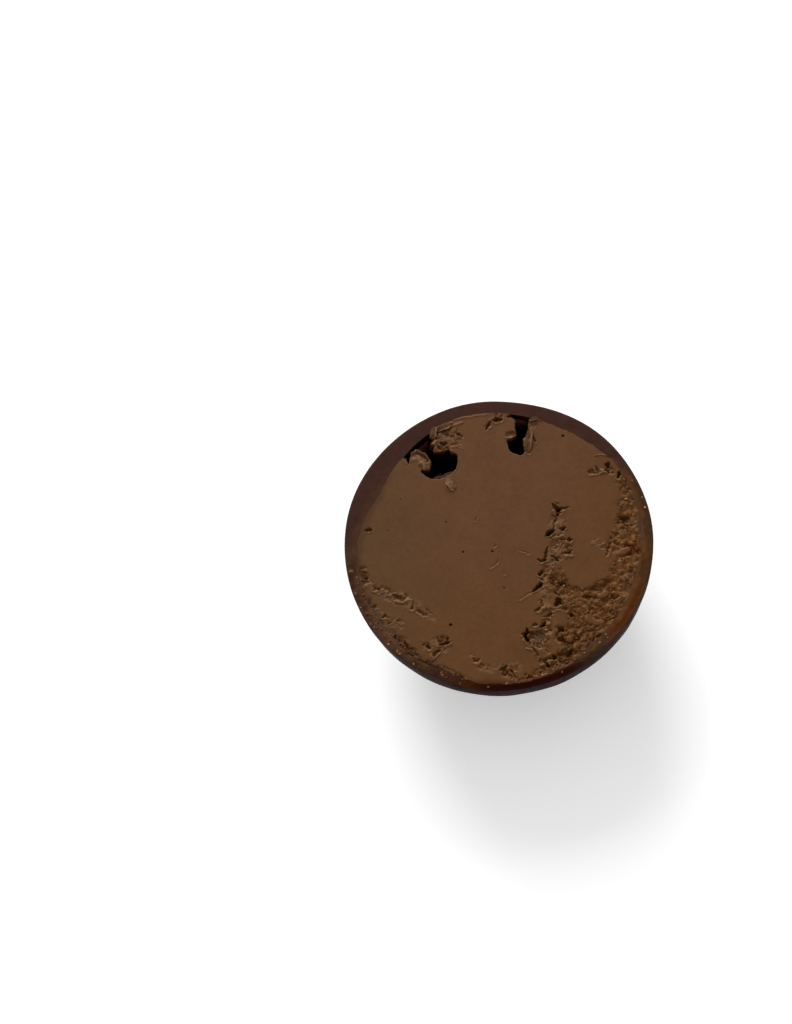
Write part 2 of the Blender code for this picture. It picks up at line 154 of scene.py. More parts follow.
# Smooth lumps that the knife cut flat in the middle of the crumbs
PLATEAUS = (
    ((2.3, -6.2, 0.5), (3.3, -6.1, 0.7), (3.8, -6.2, 0.45)),
    ((2.4, -7.95, 0.3), (3.2, -7.8, 0.35), (3.6, -7.75, 0.25)),
    ((4.4, -8.75, 0.7), (4.4, -9.2, 0.55)),
    ((3.1, -11.4, 0.5), (2.9, -11.8, 0.5)),
    ((8.6, -7.4, 0.35), (9.2, -7.2, 0.3)),
    ((11.6, -3.4, 0.4), (12.1, -3.2, 0.3)),
    ((7.2, -9.6, 0.4), (7.8, -10.0, 0.3)),
    ((10.2, -8.2, 0.3), (10.6, -8.0, 0.3)),
)

# Tears and pits: depth, then a tapered line
CAVITIES = (
    (0.6, ((-2.05, 12.4, 0.04), (-1.9, 12.25, 0.13), (-1.75, 12.05, 0.08), (-1.55, 11.85, 0.03))),
    (0.6, ((-3.8, 11.6, 0.1), (-3.5, 11.45, 0.24), (-3.15, 11.5, 0.1))),
    (0.5, ((-4.15, 11.3, 0.1), (-3.9, 11.0, 0.2), (-3.5, 10.95, 0.2), (-3.15, 10.95, 0.1))),
    (0.25, ((-4.2, 12.55, 0.08), (-3.9, 12.8, 0.16), (-3.3, 12.95, 0.16), (-2.9, 13.1, 0.08))),
    (0.45, ((-6.45, 10.95, 0.04), (-6.0, 10.75, 0.12), (-5.6, 10.4, 0.16), (-5.4, 9.9, 0.1))),
    (0.5, ((-7.5, 11.4, 0.08), (-7.45, 11.0, 0.16), (-7.3, 10.4, 0.12), (-7.28, 10.1, 0.04))),
    (0.6, ((1.45, 12.8, 0.05), (1.25, 12.55, 0.16), (0.95, 12.15, 0.05))),
    (0.7, ((1.75, 12.95, 0.12), (2.05, 12.95, 0.25), (2.5, 12.85, 0.15))),
    (0.3, ((2.1, 13.2, 0.2), (2.2, 13.8, 0.08))),
    (0.4, ((2.8, 11.35, 0.08), (3.0, 11.1, 0.28), (3.5, 11.05, 0.26))),
    (0.45, ((5.2, 10.9, 0.06), (5.3, 10.5, 0.09), (5.35, 10.0, 0.08), (5.5, 9.8, 0.05))),
    (0.35, ((4.55, 9.5, 0.05), (4.58, 9.1, 0.1), (4.6, 8.75, 0.1))),
    (0.7, ((11.75, 5.95, 0.12), (11.95, 5.95, 0.18), (12.1, 6.05, 0.06))),
    (0.45, ((11.9, 5.8, 0.15), (11.75, 5.4, 0.2), (11.85, 5.0, 0.06))),
    (0.45, ((10.8, 6.0, 0.06), (10.85, 5.7, 0.12), (11.0, 5.4, 0.16))),
    (0.2, ((10.3, 5.8, 0.1), (10.4, 5.4, 0.25), (10.9, 5.3, 0.1))),
    (0.8, ((12.85, 4.95, 0.05), (12.8, 4.7, 0.12), (12.68, 4.4, 0.1))),
    (0.68, ((5.97, 3.0, 0.04), (6.1, 2.65, 0.2), (6.3, 2.35, 0.26), (6.3, 2.0, 0.2), (6.2, 1.8, 0.1))),
    (0.55, ((6.3, 2.35, 0.16), (6.8, 2.3, 0.1), (7.3, 2.3, 0.02))),
    (0.5, ((6.2, 1.85, 0.12), (6.0, 1.5, 0.08), (5.85, 1.15, 0.17), (5.8, 1.0, 0.05))),
    (0.45, ((5.7, 1.0, 0.05), (5.6, 0.6, 0.09), (5.45, 0.3, 0.12))),
    (0.95, ((5.55, 0.25, 0.08), (5.2, 0.2, 0.2), (4.9, 0.0, 0.17), (4.65, -0.25, 0.03))),
    (0.6, ((6.15, 0.3, 0.08), (6.4, 0.25, 0.17), (6.65, 0.2, 0.06))),
    (0.3, ((6.4, 0.1, 0.2), (6.2, -0.3, 0.2), (5.8, -0.4, 0.1))),
    (0.6, ((6.6, -0.95, 0.06), (6.8, -1.05, 0.2), (7.05, -1.1, 0.06))),
    (0.35, ((5.75, -0.8, 0.05), (6.05, -0.85, 0.15), (6.35, -0.9, 0.06))),
    (0.6, ((4.6, -1.4, 0.02), (4.4, -1.8, 0.12), (4.25, -2.2, 0.15), (4.1, -2.55, 0.12))),
    (0.6, ((4.1, -2.55, 0.12), (3.8, -2.7, 0.12), (3.5, -2.4, 0.04))),
    (0.5, ((4.75, -2.4, 0.04), (5.0, -2.45, 0.1), (5.2, -2.8, 0.14), (5.35, -3.0, 0.06))),
    (0.45, ((5.9, -2.3, 0.05), (6.2, -2.4, 0.14), (6.6, -2.4, 0.12), (6.9, -2.2, 0.05))),
    (0.4, ((10.55, -2.2, 0.1), (10.4, -2.6, 0.12), (10.15, -3.2, 0.14), (10.0, -3.35, 0.06))),
    (0.7, ((3.7, -3.65, 0.04), (3.55, -3.85, 0.15), (3.35, -3.95, 0.14), (3.3, -4.0, 0.05))),
    (0.4, ((3.4, -4.0, 0.08), (3.4, -4.4, 0.1), (3.5, -4.55, 0.08))),
    (0.3, ((3.55, -4.25, 0.1), (3.9, -4.3, 0.14), (4.15, -4.2, 0.06))),
    (0.95, ((3.25, -4.9, 0.14), (3.0, -5.15, 0.2), (2.8, -5.35, 0.13), (2.5, -5.5, 0.08))),
    (0.3, ((2.5, -5.5, 0.08), (2.1, -5.75, 0.05), (1.4, -5.95, 0.03), (1.1, -6.2, 0.02))),
    (0.5, ((5.2, -5.3, 0.08), (5.35, -5.2, 0.14), (5.6, -5.3, 0.05))),
    (0.8, ((4.55, -6.75, 0.12), (4.6, -7.0, 0.28), (4.4, -7.3, 0.25), (4.8, -7.2, 0.2))),
    (0.45, ((3.05, -6.7, 0.05), (2.95, -6.9, 0.12), (3.0, -7.2, 0.09))),
    (0.55, ((2.25, -7.65, 0.06), (2.45, -7.6, 0.13), (2.75, -7.4, 0.08))),
    (0.6, ((3.1, -8.4, 0.05), (3.4, -8.35, 0.12), (3.7, -8.2, 0.06))),
    (0.5, ((1.75, -9.05, 0.08), (1.95, -9.0, 0.13), (2.1, -9.05, 0.06))),
    (0.8, ((2.95, -8.9, 0.06), (2.75, -9.1, 0.15), (2.45, -9.25, 0.06))),
    (0.9, ((1.15, -9.2, 0.05), (1.1, -9.5, 0.1), (0.9, -9.85, 0.2), (1.0, -10.2, 0.17))),
    (0.6, ((0.65, -9.7, 0.06), (1.1, -9.6, 0.1), (1.5, -9.65, 0.1))),
    (0.5, ((1.05, -10.35, 0.15), (1.15, -10.8, 0.13), (1.1, -11.0, 0.05))),
    (0.4, ((1.6, -10.0, 0.3), (2.1, -10.2, 0.6), (1.9, -11.0, 0.35))),
    (0.45, ((1.35, -11.3, 0.04), (1.5, -11.7, 0.12), (1.62, -12.1, 0.12), (1.62, -12.4, 0.03))),
    (0.8, ((3.05, -12.4, 0.08), (3.2, -12.55, 0.16), (3.35, -12.6, 0.08))),
    (0.45, ((2.2, -12.75, 0.1), (2.6, -12.6, 0.12), (2.9, -12.6, 0.12))),
    (0.75, ((2.3, -13.0, 0.06), (2.45, -13.25, 0.15), (2.6, -13.4, 0.06))),
    (0.6, ((4.85, -12.2, 0.06), (4.75, -12.4, 0.12), (4.4, -12.6, 0.05))),
    (0.5, ((0.3, -14.1, 0.06), (0.5, -14.05, 0.12), (0.8, -14.1, 0.05))),
    (0.45, ((7.0, -7.1, 0.1), (7.4, -7.3, 0.22), (7.7, -7.2, 0.1))),
    (0.35, ((9.5, -7.75, 0.08), (10.0, -7.8, 0.12), (10.4, -7.7, 0.06))),
    (0.3, ((7.4, -8.4, 0.15), (7.8, -8.75, 0.25), (8.3, -8.7, 0.15))),
    (0.3, ((9.1, -5.75, 0.05), (9.6, -5.9, 0.12), (10.0, -6.0, 0.06))),
    (0.5, ((7.3, -11.5, 0.12), (7.8, -11.3, 0.2), (8.25, -11.35, 0.1))),
    (0.55, ((-2.1, -12.9, 0.05), (-1.75, -12.75, 0.12), (-1.35, -12.5, 0.05))),
    (0.6, ((-1.1, -13.0, 0.06), (-0.95, -13.2, 0.1), (-0.85, -13.7, 0.03))),
    (0.4, ((-4.4, -11.2, 0.06), (-4.35, -11.5, 0.13), (-4.1, -11.6, 0.1), (-3.85, -11.4, 0.08))),
    (0.4, ((-12.5, -1.75, 0.04), (-12.55, -2.1, 0.12), (-12.5, -2.4, 0.15), (-12.2, -2.4, 0.08))),
    (0.45, ((-11.0, -3.2, 0.08), (-10.7, -3.4, 0.15), (-10.3, -3.7, 0.25), (-10.1, -4.1, 0.12))),
    (0.3, ((-9.75, -3.4, 0.08), (-9.6, -3.7, 0.15), (-9.9, -4.0, 0.12))),
    (0.35, ((-9.1, -4.3, 0.03), (-9.2, -4.7, 0.06), (-9.35, -5.05, 0.12), (-9.5, -5.0, 0.06))),
    (0.35, ((-8.9, -5.35, 0.1), (-8.65, -5.5, 0.16), (-8.4, -5.8, 0.14), (-8.35, -6.1, 0.04))),
    (0.45, ((-12.25, -5.4, 0.06), (-12.0, -5.25, 0.13), (-11.85, -5.45, 0.06))),
    (0.35, ((-11.3, -7.5, 0.1), (-11.4, -7.75, 0.15), (-11.6, -7.8, 0.08))),
    (0.45, ((-10.6, -8.3, 0.08), (-10.45, -8.7, 0.18), (-10.4, -9.0, 0.12))),
    (0.6, ((-8.45, -9.0, 0.05), (-8.4, -9.3, 0.13))),
    (0.45, ((-7.45, -8.3, 0.02), (-7.35, -8.8, 0.08), (-7.25, -9.1, 0.12))),
    (0.55, ((-7.2, -9.2, 0.08), (-6.85, -9.2, 0.12), (-6.4, -9.15, 0.1))),
    (0.45, ((-6.5, -9.2, 0.1), (-6.45, -8.8, 0.17), (-6.4, -8.6, 0.08))),
    (0.5, ((-7.4, -9.8, 0.08), (-7.6, -9.85, 0.12), (-7.95, -10.05, 0.2), (-8.1, -10.2, 0.05))),
    (0.4, ((-12.5, 3.95, 0.06), (-12.2, 3.9, 0.15), (-11.9, 3.85, 0.08))),
    (0.28, ((-0.2, -1.4, 0.02), (-0.35, -1.9, 0.05), (-0.8, -2.2, 0.04), (-1.2, -2.4, 0.02))),
    (0.32, ((-0.05, -2.9, 0.03), (0.05, -3.4, 0.02))),
    (0.3, ((1.9, -1.2, 0.02), (2.4, -1.4, 0.04), (2.7, -1.7, 0.02))),
    (0.3, ((-0.55, -0.3, 0.04), (-0.3, -0.15, 0.09))),
    (0.36, ((-1.75, 2.7, 0.03), (-1.6, 3.0, 0.05))),
)

# Tiny bubbles in the cut: x, y, radius
BUBBLES = (
    (-5.95, -7.45, 0.16), (-3.5, -0.3, 0.11), (-0.72, -0.8, 0.12), (8.2, 9.82, 0.14),
    (-4.6, 3.1, 0.08), (-10.3, 3.4, 0.07), (-8.6, 6.4, 0.06), (-0.25, -4.75, 0.09),
)

# Edges and scraps that stand up: height, then a tapered line
RIDGES = (
    (0.22, ((-4.45, 12.95, 0.05), (-4.58, 12.5, 0.09), (-4.35, 12.1, 0.08))),
    (0.2, ((-4.3, 13.05, 0.06), (-3.7, 13.25, 0.08), (-3.0, 13.5, 0.09), (-2.3, 13.45, 0.1))),
    (0.12, ((-2.3, 13.15, 0.06), (-1.9, 13.2, 0.14), (-1.2, 13.2, 0.08))),
    (0.08, ((-2.05, 13.75, 0.06), (-1.2, 13.75, 0.09), (-0.3, 13.68, 0.08), (1.2, 13.62, 0.08))),
    (0.2, ((-4.0, 12.2, 0.08), (-3.85, 12.35, 0.14))),
    (0.14, ((-3.5, 12.6, 0.06), (-3.1, 12.6, 0.1), (-2.75, 12.55, 0.05))),
    (0.15, ((-4.7, 11.6, 0.04), (-4.5, 11.5, 0.12), (-4.1, 11.75, 0.07))),
    (0.15, ((-4.5, 10.85, 0.04), (-4.3, 11.1, 0.12), (-4.2, 11.2, 0.08))),
    (0.12, ((-2.9, 10.5, 0.14), (-2.75, 10.4, 0.1))),
    (0.06, ((-2.9, 10.85, 0.06), (-2.4, 10.9, 0.06), (-1.7, 10.4, 0.04))),
    (0.22, ((-6.8, 10.95, 0.08), (-6.15, 11.15, 0.1), (-5.6, 10.85, 0.1), (-5.2, 10.25, 0.1))),
    (0.12, ((-6.7, 10.3, 0.2), (-6.2, 10.2, 0.25), (-6.0, 9.7, 0.2))),
    (0.2, ((-6.2, 9.6, 0.08), (-5.85, 9.65, 0.2), (-5.7, 9.3, 0.16), (-5.75, 9.05, 0.06))),
    (0.05, ((-2.2, 9.6, 0.05), (-2.42, 8.8, 0.06), (-2.9, 8.1, 0.05))),
    (0.16, ((-4.0, 6.7, 0.06), (-3.75, 6.4, 0.1), (-3.35, 6.2, 0.07))),
    (0.12, ((-3.9, 7.25, 0.06), (-3.65, 7.45, 0.12), (-3.45, 7.45, 0.05))),
    (0.1, ((-3.4, 7.25, 0.05), (-3.2, 6.85, 0.06), (-3.1, 6.55, 0.05))),
    (0.05, ((-3.65, 7.1, 0.25), (-3.55, 6.6, 0.35))),
    (0.3, ((4.4, 9.0, 0.05), (4.38, 9.9, 0.1), (4.7, 10.35, 0.12), (5.05, 10.75, 0.08))),
    (0.14, ((5.0, 10.7, 0.05), (5.2, 11.15, 0.08))),
    (0.1, ((5.15, 10.5, 0.06), (5.15, 9.65, 0.08))),
    (0.12, ((5.3, 12.05, 0.05), (5.6, 12.3, 0.08), (6.1, 12.1, 0.06), (6.4, 11.9, 0.06))),
    (0.07, ((1.0, 12.1, 0.04), (1.5, 12.5, 0.06), (1.7, 12.75, 0.06), (2.1, 12.55, 0.06))),
    (0.1, ((10.0, 5.05, 0.06), (10.6, 5.12, 0.1), (11.5, 5.1, 0.1), (11.8, 5.0, 0.05))),
    (0.12, ((11.05, 5.4, 0.06), (11.3, 5.3, 0.12))),
    (0.12, ((12.0, 5.2, 0.08), (12.3, 5.35, 0.14), (12.5, 5.5, 0.08))),
    (0.1, ((10.8, 7.05, 0.05), (11.4, 7.1, 0.07), (12.1, 6.85, 0.08), (12.5, 6.5, 0.05))),
    (0.12, ((12.6, 3.9, 0.08), (12.85, 4.2, 0.16), (13.15, 4.3, 0.12))),
    (0.15, ((12.8, 1.95, 0.1), (13.0, 2.0, 0.14))),
    (0.12, ((4.3, -2.5, 0.06), (4.4, -2.2, 0.1))),
    (0.12, ((6.05, -2.95, 0.06), (6.2, -2.7, 0.12), (6.5, -2.85, 0.12), (6.9, -2.9, 0.1))),
    (0.08, ((9.1, -2.35, 0.05), (9.6, -2.35, 0.07), (10.0, -2.2, 0.12), (10.3, -2.4, 0.05))),
    (0.14, ((4.3, -4.25, 0.06), (4.45, -4.0, 0.1), (4.6, -3.85, 0.06))),
    (0.1, ((2.7, -5.65, 0.05), (3.2, -5.42, 0.08), (3.7, -5.5, 0.1), (4.1, -5.8, 0.08))),
    (0.14, ((4.25, -5.65, 0.06), (4.45, -5.8, 0.1), (4.65, -6.1, 0.08), (4.75, -6.35, 0.05))),
    (0.08, ((2.3, -7.8, 0.05), (2.8, -7.6, 0.08), (3.2, -7.55, 0.08), (3.7, -7.55, 0.1))),
    (0.1, ((3.7, -8.5, 0.05), (3.85, -8.2, 0.08), (4.3, -8.08, 0.08), (4.9, -8.15, 0.07))),
    (0.1, ((4.9, -8.15, 0.07), (5.2, -8.5, 0.08), (5.4, -9.0, 0.05))),
    (0.08, ((3.1, -8.65, 0.05), (3.5, -8.75, 0.1), (3.6, -9.0, 0.08))),
    (0.12, ((3.2, -9.25, 0.14), (3.35, -9.2, 0.14))),
    (0.12, ((0.6, -10.3, 0.06), (0.75, -10.6, 0.1), (0.85, -10.9, 0.06))),
    (0.14, ((0.7, -11.3, 0.1), (1.0, -11.35, 0.08), (1.3, -11.6, 0.06), (1.4, -12.1, 0.05))),
    (0.14, ((3.95, -12.05, 0.1), (4.4, -11.9, 0.14), (4.9, -11.65, 0.1))),
    (0.14, ((7.7, -8.25, 0.05), (7.85, -8.5, 0.08), (8.1, -8.5, 0.08), (8.25, -8.25, 0.05))),
    (0.16, ((9.65, -8.9, 0.08), (9.7, -9.2, 0.12), (9.75, -9.6, 0.06))),
    (0.14, ((10.05, -7.25, 0.08), (10.1, -7.5, 0.12))),
    (0.1, ((-13.7, -2.2, 0.06), (-13.3, -1.85, 0.12), (-12.9, -1.7, 0.1), (-12.7, -1.85, 0.05))),
    (0.08, ((-11.25, -3.6, 0.04), (-10.9, -3.95, 0.06), (-10.5, -4.2, 0.07), (-10.1, -4.4, 0.06))),
    (0.1, ((-9.8, -4.35, 0.06), (-9.55, -4.2, 0.14), (-9.2, -4.25, 0.06))),
    (0.06, ((-8.95, -5.7, 0.04), (-8.5, -6.1, 0.05), (-8.0, -6.2, 0.08), (-7.8, -6.25, 0.04))),
    (0.1, ((-11.95, -7.5, 0.06), (-11.6, -7.52, 0.08), (-11.4, -7.5, 0.05))),
    (0.12, ((-7.4, -9.5, 0.08), (-7.2, -9.35, 0.08), (-6.8, -9.45, 0.08), (-6.2, -9.4, 0.1))),
    (0.12, ((-8.35, -10.75, 0.06), (-8.2, -10.7, 0.08), (-7.9, -10.5, 0.06), (-7.4, -10.15, 0.04))),
    (0.12, ((-0.7, -13.4, 0.06), (-0.7, -13.7, 0.1))),
)

# Large grains and bright scraps: x, y, half size
BRIGHT_GRAINS = (
    (-14.5, -0.1, 0.2), (-14.1, -0.85, 0.09), (-14.3, -4.0, 0.09), (-13.65, -5.9, 0.09),
    (-13.2, -6.25, 0.09), (-12.3, -8.35, 0.15), (-11.5, -9.6, 0.15), (-10.35, -10.95, 0.13),
    (-6.2, -13.7, 0.09), (-3.5, -14.2, 0.12), (-1.7, -14.3, 0.13), (-0.8, -14.2, 0.13),
    (0.35, -13.9, 0.1), (1.75, -14.15, 0.15), (2.05, -14.1, 0.13), (3.65, -14.1, 0.1),
    (13.9, 3.75, 0.1), (12.95, 2.0, 0.17), (13.45, 1.75, 0.1), (14.5, 1.8, 0.1),
    (14.6, 0.75, 0.17), (13.1, -0.6, 0.1), (13.35, -1.4, 0.1), (6.15, -2.05, 0.1),
    (6.7, -2.1, 0.09), (3.8, -4.8, 0.12), (5.1, -4.8, 0.1), (4.75, -4.95, 0.12),
    (5.4, -5.55, 0.13), (6.0, -6.3, 0.09), (5.0, -6.5, 0.11), (7.0, -6.85, 0.09),
    (8.4, -7.7, 0.13), (8.45, -8.1, 0.12), (7.7, -9.15, 0.09), (8.8, -9.4, 0.1),
    (9.3, -9.95, 0.12), (8.9, -10.2, 0.09), (8.15, -10.8, 0.1), (8.4, -11.3, 0.1),
    (8.5, -11.65, 0.1), (7.7, -12.0, 0.11), (6.1, -12.7, 0.09), (4.5, -10.7, 0.12),
    (3.7, -10.9, 0.12), (2.95, -9.7, 0.15), (3.2, -9.95, 0.14), (2.85, -10.15, 0.1),
    (3.1, -4.6, 0.09),
)

# The grey, crystalline inside of the largest cavity, and two oily streaks at the foot
GREY_CAVITY = ((1.7, -9.9, 0.3), (2.2, -10.1, 0.6), (1.95, -10.9, 0.4), (1.6, -11.4, 0.2))
OILY_STREAKS = (
    ((-6.0, -13.35, 0.15), (-4.7, -13.8, 0.4), (-3.2, -14.1, 0.35), (-1.0, -14.3, 0.15)),
    ((-0.8, -14.2, 0.12), (1.5, -14.25, 0.2), (4.0, -13.9, 0.2)),
)

# Thin shavings: x, y, height, half length, half width, curl, then turn, lean and roll in degrees
FLAKES = (
    (-3.55, 6.85, 0.16, 0.62, 0.36, 0.22, -68, 4, 0),
    (-4.25, 12.7, 0.1, 0.62, 0.3, 0.3, 66, -10, 12),
    (-3.1, 13.1, 0.08, 0.75, 0.3, 0.22, 14, -4, 8),
    (4.8, 9.95, 0.08, 1.15, 0.34, 0.3, 73, -4, 12),
    (5.75, 12.1, 0.1, 0.5, 0.22, 0.22, -8, 6, -8),
    (4.5, -12.0, -0.05, 0.5, 0.22, 0.2, 22, -8, 6),
    (9.7, -9.2, -0.08, 0.34, 0.14, 0.2, 84, 0, 0),
)
FLAKE_THICKNESS = 0.09

# Stretches where the knife dragged the surface into low lumps and small tears
DRAGGED = (
    ((-13.4, -0.9, 0.4), (-12.6, -2.4, 0.6), (-10.6, -3.7, 0.9), (-8.6, -5.4, 0.7), (-7.4, -6.5, 0.3)),
    ((-12.9, -4.4, 0.5), (-12.0, -6.0, 0.7), (-10.7, -6.5, 0.7)),
    ((-12.1, -7.3, 0.5), (-10.7, -8.5, 0.8), (-9.9, -10.0, 0.6)),
    ((-8.7, -9.2, 0.5), (-6.9, -9.1, 0.8), (-7.8, -10.2, 0.7)),
    ((-9.6, -10.6, 0.4), (-7.6, -11.7, 0.6), (-6.0, -12.8, 0.5)),
    ((-4.6, -11.0, 0.4), (-3.6, -12.3, 0.6), (-1.5, -12.9, 0.8), (-0.2, -12.9, 0.5)),
    ((6.2, 2.9, 0.4), (6.1, 1.2, 0.8), (5.4, 0.0, 0.9), (6.2, -1.4, 1.0), (5.2, -2.6, 1.0)),
    ((5.2, -2.6, 1.0), (4.2, -3.9, 0.8), (3.8, -5.2, 0.9), (3.4, -7.2, 0.9), (3.3, -9.0, 0.9)),
    ((3.3, -9.0, 0.9), (2.0, -10.2, 1.2), (2.6, -12.6, 0.9), (1.4, -13.5, 0.6)),
    ((10.1, 5.5, 0.4), (11.8, 5.4, 0.6), (12.8, 4.6, 0.5)),
    ((9.2, -1.8, 0.5), (10.6, -2.5, 0.8), (11.8, -0.8, 0.7)),
    ((-4.2, 12.3, 0.5), (-2.6, 12.7, 0.9), (-2.3, 11.2, 0.7)),
    ((1.1, 12.3, 0.4), (2.4, 13.3, 0.5)),
    ((5.2, 11.0, 0.4), (6.0, 12.1, 0.5)),
    ((-12.6, 4.0, 0.4), (-12.0, 3.8, 0.3)),
)

# Colours, linear
CUT_LEFT = (0.0964, 0.0451, 0.0159)
CUT_MIDDLE = (0.1090, 0.0455, 0.0172)
CUT_RIGHT = (0.1040, 0.0410, 0.0108)
CUT_LOW = (0.1045, 0.0408, 0.0105)
CRUMB_TONE = (0.1100, 0.0415, 0.0095)
# The darker and lighter crumb colours also serve as painted shade in hollows and painted highlight on
# tops
CRUMB_DARK = (0.0740, 0.0245, 0.0040)
CRUMB_LIGHT = (0.1550, 0.0710, 0.0235)
# Painted shade in crevices, pits and tiny bubbles, and deep in the air holes
CREVICE_SHADE = (0.0330, 0.0095, 0.0022)
HOLLOW_SHADE = (0.0050, 0.0014, 0.0006)
# Painted highlight on lit slopes, raised edges and flakes, also laid in patches on dragged stretches
PAINTED_HIGHLIGHT = (0.2100, 0.1180, 0.0600)
GLINT_TONE = (0.3600, 0.2350, 0.1200)
GREY_INSIDE = (0.1000, 0.0540, 0.0235)
SHELL_CUT = (0.0435, 0.0168, 0.0112)
# Painted highlight along the shell's outer edge
SHELL_EDGE_HIGHLIGHT = (0.0600, 0.0240, 0.0150)
BORDER_TONE = (0.0640, 0.0270, 0.0120)
SMEAR_GREY = (0.0610, 0.0310, 0.0165)
SMEAR_OLIVE = (0.0510, 0.0225, 0.0095)
SMEAR_DARK = (0.0260, 0.0075, 0.0020)
OILY_TONE = (0.0660, 0.0165, 0.0012)
# Partly painted shade on the rounded near edge
RED_EDGE = (0.0230, 0.0020, 0.0002)
LEDGE_TONE = (0.0600, 0.0200, 0.0100)
WALL_OF_HOLE = (0.1000, 0.0270, 0.0130)
SHELL_DARK = (0.0095, 0.0026, 0.0016)
SHELL_LIGHT = (0.0150, 0.0044, 0.0030)
SHELL_HAZE = (0.0110, 0.0048, 0.0034)
SHELL_BLOOM = (0.0300, 0.0190, 0.0150)
SUGAR_TONE = (0.2400, 0.1280, 0.0470)
FLOOR_WHITE = (0.9400, 0.9400, 0.9400)
WHITE = (1.0, 1.0, 1.0, 1.0)

# Angles in degrees between which the praline's edge runs softly into the shell, then the fade
SOFT_BORDER = (136, 192, 8.0)

FACE_CELLS = 112
SPLIT_BEYOND = 12.6
SHELL_STEPS = 480
SHELL_RINGS = 36
WALL_STEPS = 16
FILLING_RINGS = 6
FOOT_SLOPE = math.radians(78.0)
NOISE_SIZE = 64
FAR = 99.0
CRUMB_COUNT = 380
CRUMB_SIZES = (0.07, 0.2)
SUGAR_COUNT = 40
SUGAR_SIZES = (0.04, 0.08)

dice = np.random.default_rng(11)
LATTICE = dice.uniform(-1.0, 1.0, (NOISE_SIZE, NOISE_SIZE))
SEED_X = dice.uniform(0.15, 0.85, (NOISE_SIZE, NOISE_SIZE))
SEED_Y = dice.uniform(0.15, 0.85, (NOISE_SIZE, NOISE_SIZE))
SEED_HEIGHT = dice.uniform(0.0, 1.0, (NOISE_SIZE, NOISE_SIZE))
SEED_LEAN_X = dice.uniform(-1.0, 1.0, (NOISE_SIZE, NOISE_SIZE))
SEED_LEAN_Y = dice.uniform(-1.0, 1.0, (NOISE_SIZE, NOISE_SIZE))


def smooth(low, high, value):
    share = np.clip((value - low) / (high - low), 0.0, 1.0)
    return share * share * (3.0 - 2.0 * share)


def polar(x, y):
    """The angle round the face and the distance from its middle."""
    return np.arctan2(y, x), np.hypot(x, y)


def around(angle, table):
    """Value at an angle in radians, read from a table by degrees and rounded off."""
    degrees, values = zip(*table)
    turned = [np.degrees(angle) + step for step in (-8.0, -4.0, 0.0, 4.0, 8.0)]
    return sum(np.interp(at, degrees, values, period=360.0) for at in turned) / len(turned)


def arc_share(angle, start, end, fade=4.0):
    """1 between two angles in degrees, counted anticlockwise, fading to 0 past them."""
    middle, half = 0.5 * (start + end), 0.5 * (end - start)
    away = np.abs((np.degrees(angle) - middle + 180.0) % 360.0 - 180.0)
    return 1.0 - smooth(half - fade, half + fade, away)


def noise(x, y, octaves=1):
    """Smooth noise of about -1 to 1 with bumps one unit apart."""
    total = np.zeros_like(x)
    for octave in range(octaves):
        scale = 2.0**octave
        column, row = np.floor(x * scale), np.floor(y * scale)
        across, along = x * scale - column, y * scale - row
        across = across * across * (3.0 - 2.0 * across)
        along = along * along * (3.0 - 2.0 * along)
        i, j = column.astype(int) % NOISE_SIZE, row.astype(int) % NOISE_SIZE
        near, far = (i + 1) % NOISE_SIZE, (j + 1) % NOISE_SIZE
        low = LATTICE[i, j] * (1.0 - across) + LATTICE[near, j] * across
        high = LATTICE[i, far] * (1.0 - across) + LATTICE[near, far] * across
        total += (low * (1.0 - along) + high * along) / scale
    return total


def crumbs(x, y):
    """Height of packed crumbs, 0 in the crevices to 1 on the highest tops."""
    column, row = np.floor(x), np.floor(y)
    first = np.full_like(x, 9.0)
    second = np.full_like(x, 9.0)
    height = np.zeros_like(x)
    for step_x in (-1, 0, 1):
        for step_y in (-1, 0, 1):
            i = (column + step_x).astype(int) % NOISE_SIZE
            j = (row + step_y).astype(int) % NOISE_SIZE
            dx = column + step_x + SEED_X[i, j] - x
            dy = row + step_y + SEED_Y[i, j] - y
            distance = np.hypot(dx, dy)
            closer = distance < first
            second = np.where(closer, first, np.minimum(second, distance))
            lean = 0.55 * (SEED_LEAN_X[i, j] * dx + SEED_LEAN_Y[i, j] * dy)
            height = np.where(closer, SEED_HEIGHT[i, j] + lean, height)
            first = np.minimum(first, distance)
    return smooth(-0.05, 0.85, second - first) * (0.35 + 0.65 * height)


def line_distance(x, y, points):
    """Distance to an open line through the points."""
    nearest = np.full_like(x, FAR)
    for (ax, ay), (bx, by) in zip(points, points[1:]):
        length = (bx - ax) ** 2 + (by - ay) ** 2
        share = np.clip(((x - ax) * (bx - ax) + (y - ay) * (by - ay)) / length, 0.0, 1.0)
        away = np.hypot(x - ax - share * (bx - ax), y - ay - share * (by - ay))
        nearest = np.minimum(nearest, away)
    return nearest


def stroke_ratio(x, y, points):
    """Distance from a tapered line as a share of its half width, how far that lies past
    the line's edge, and on which side: 1 on the far side, -1 on the near side."""
    nearest = np.full_like(x, FAR)
    past = np.full_like(x, FAR)
    side = np.zeros_like(x)
    for (ax, ay, aw), (bx, by, bw) in zip(points, points[1:]):
        length = (bx - ax) ** 2 + (by - ay) ** 2
        share = np.clip(((x - ax) * (bx - ax) + (y - ay) * (by - ay)) / length, 0.0, 1.0)
        dx, dy = x - ax - share * (bx - ax), y - ay - share * (by - ay)
        width = aw + (bw - aw) * share
        away = np.hypot(dx, dy)
        closer = away / width < nearest
        side = np.where(closer, dy / np.maximum(away, 1e-6), side)
        past = np.where(closer, away - width, past)
        nearest = np.minimum(nearest, away / width)
    return nearest, past, side


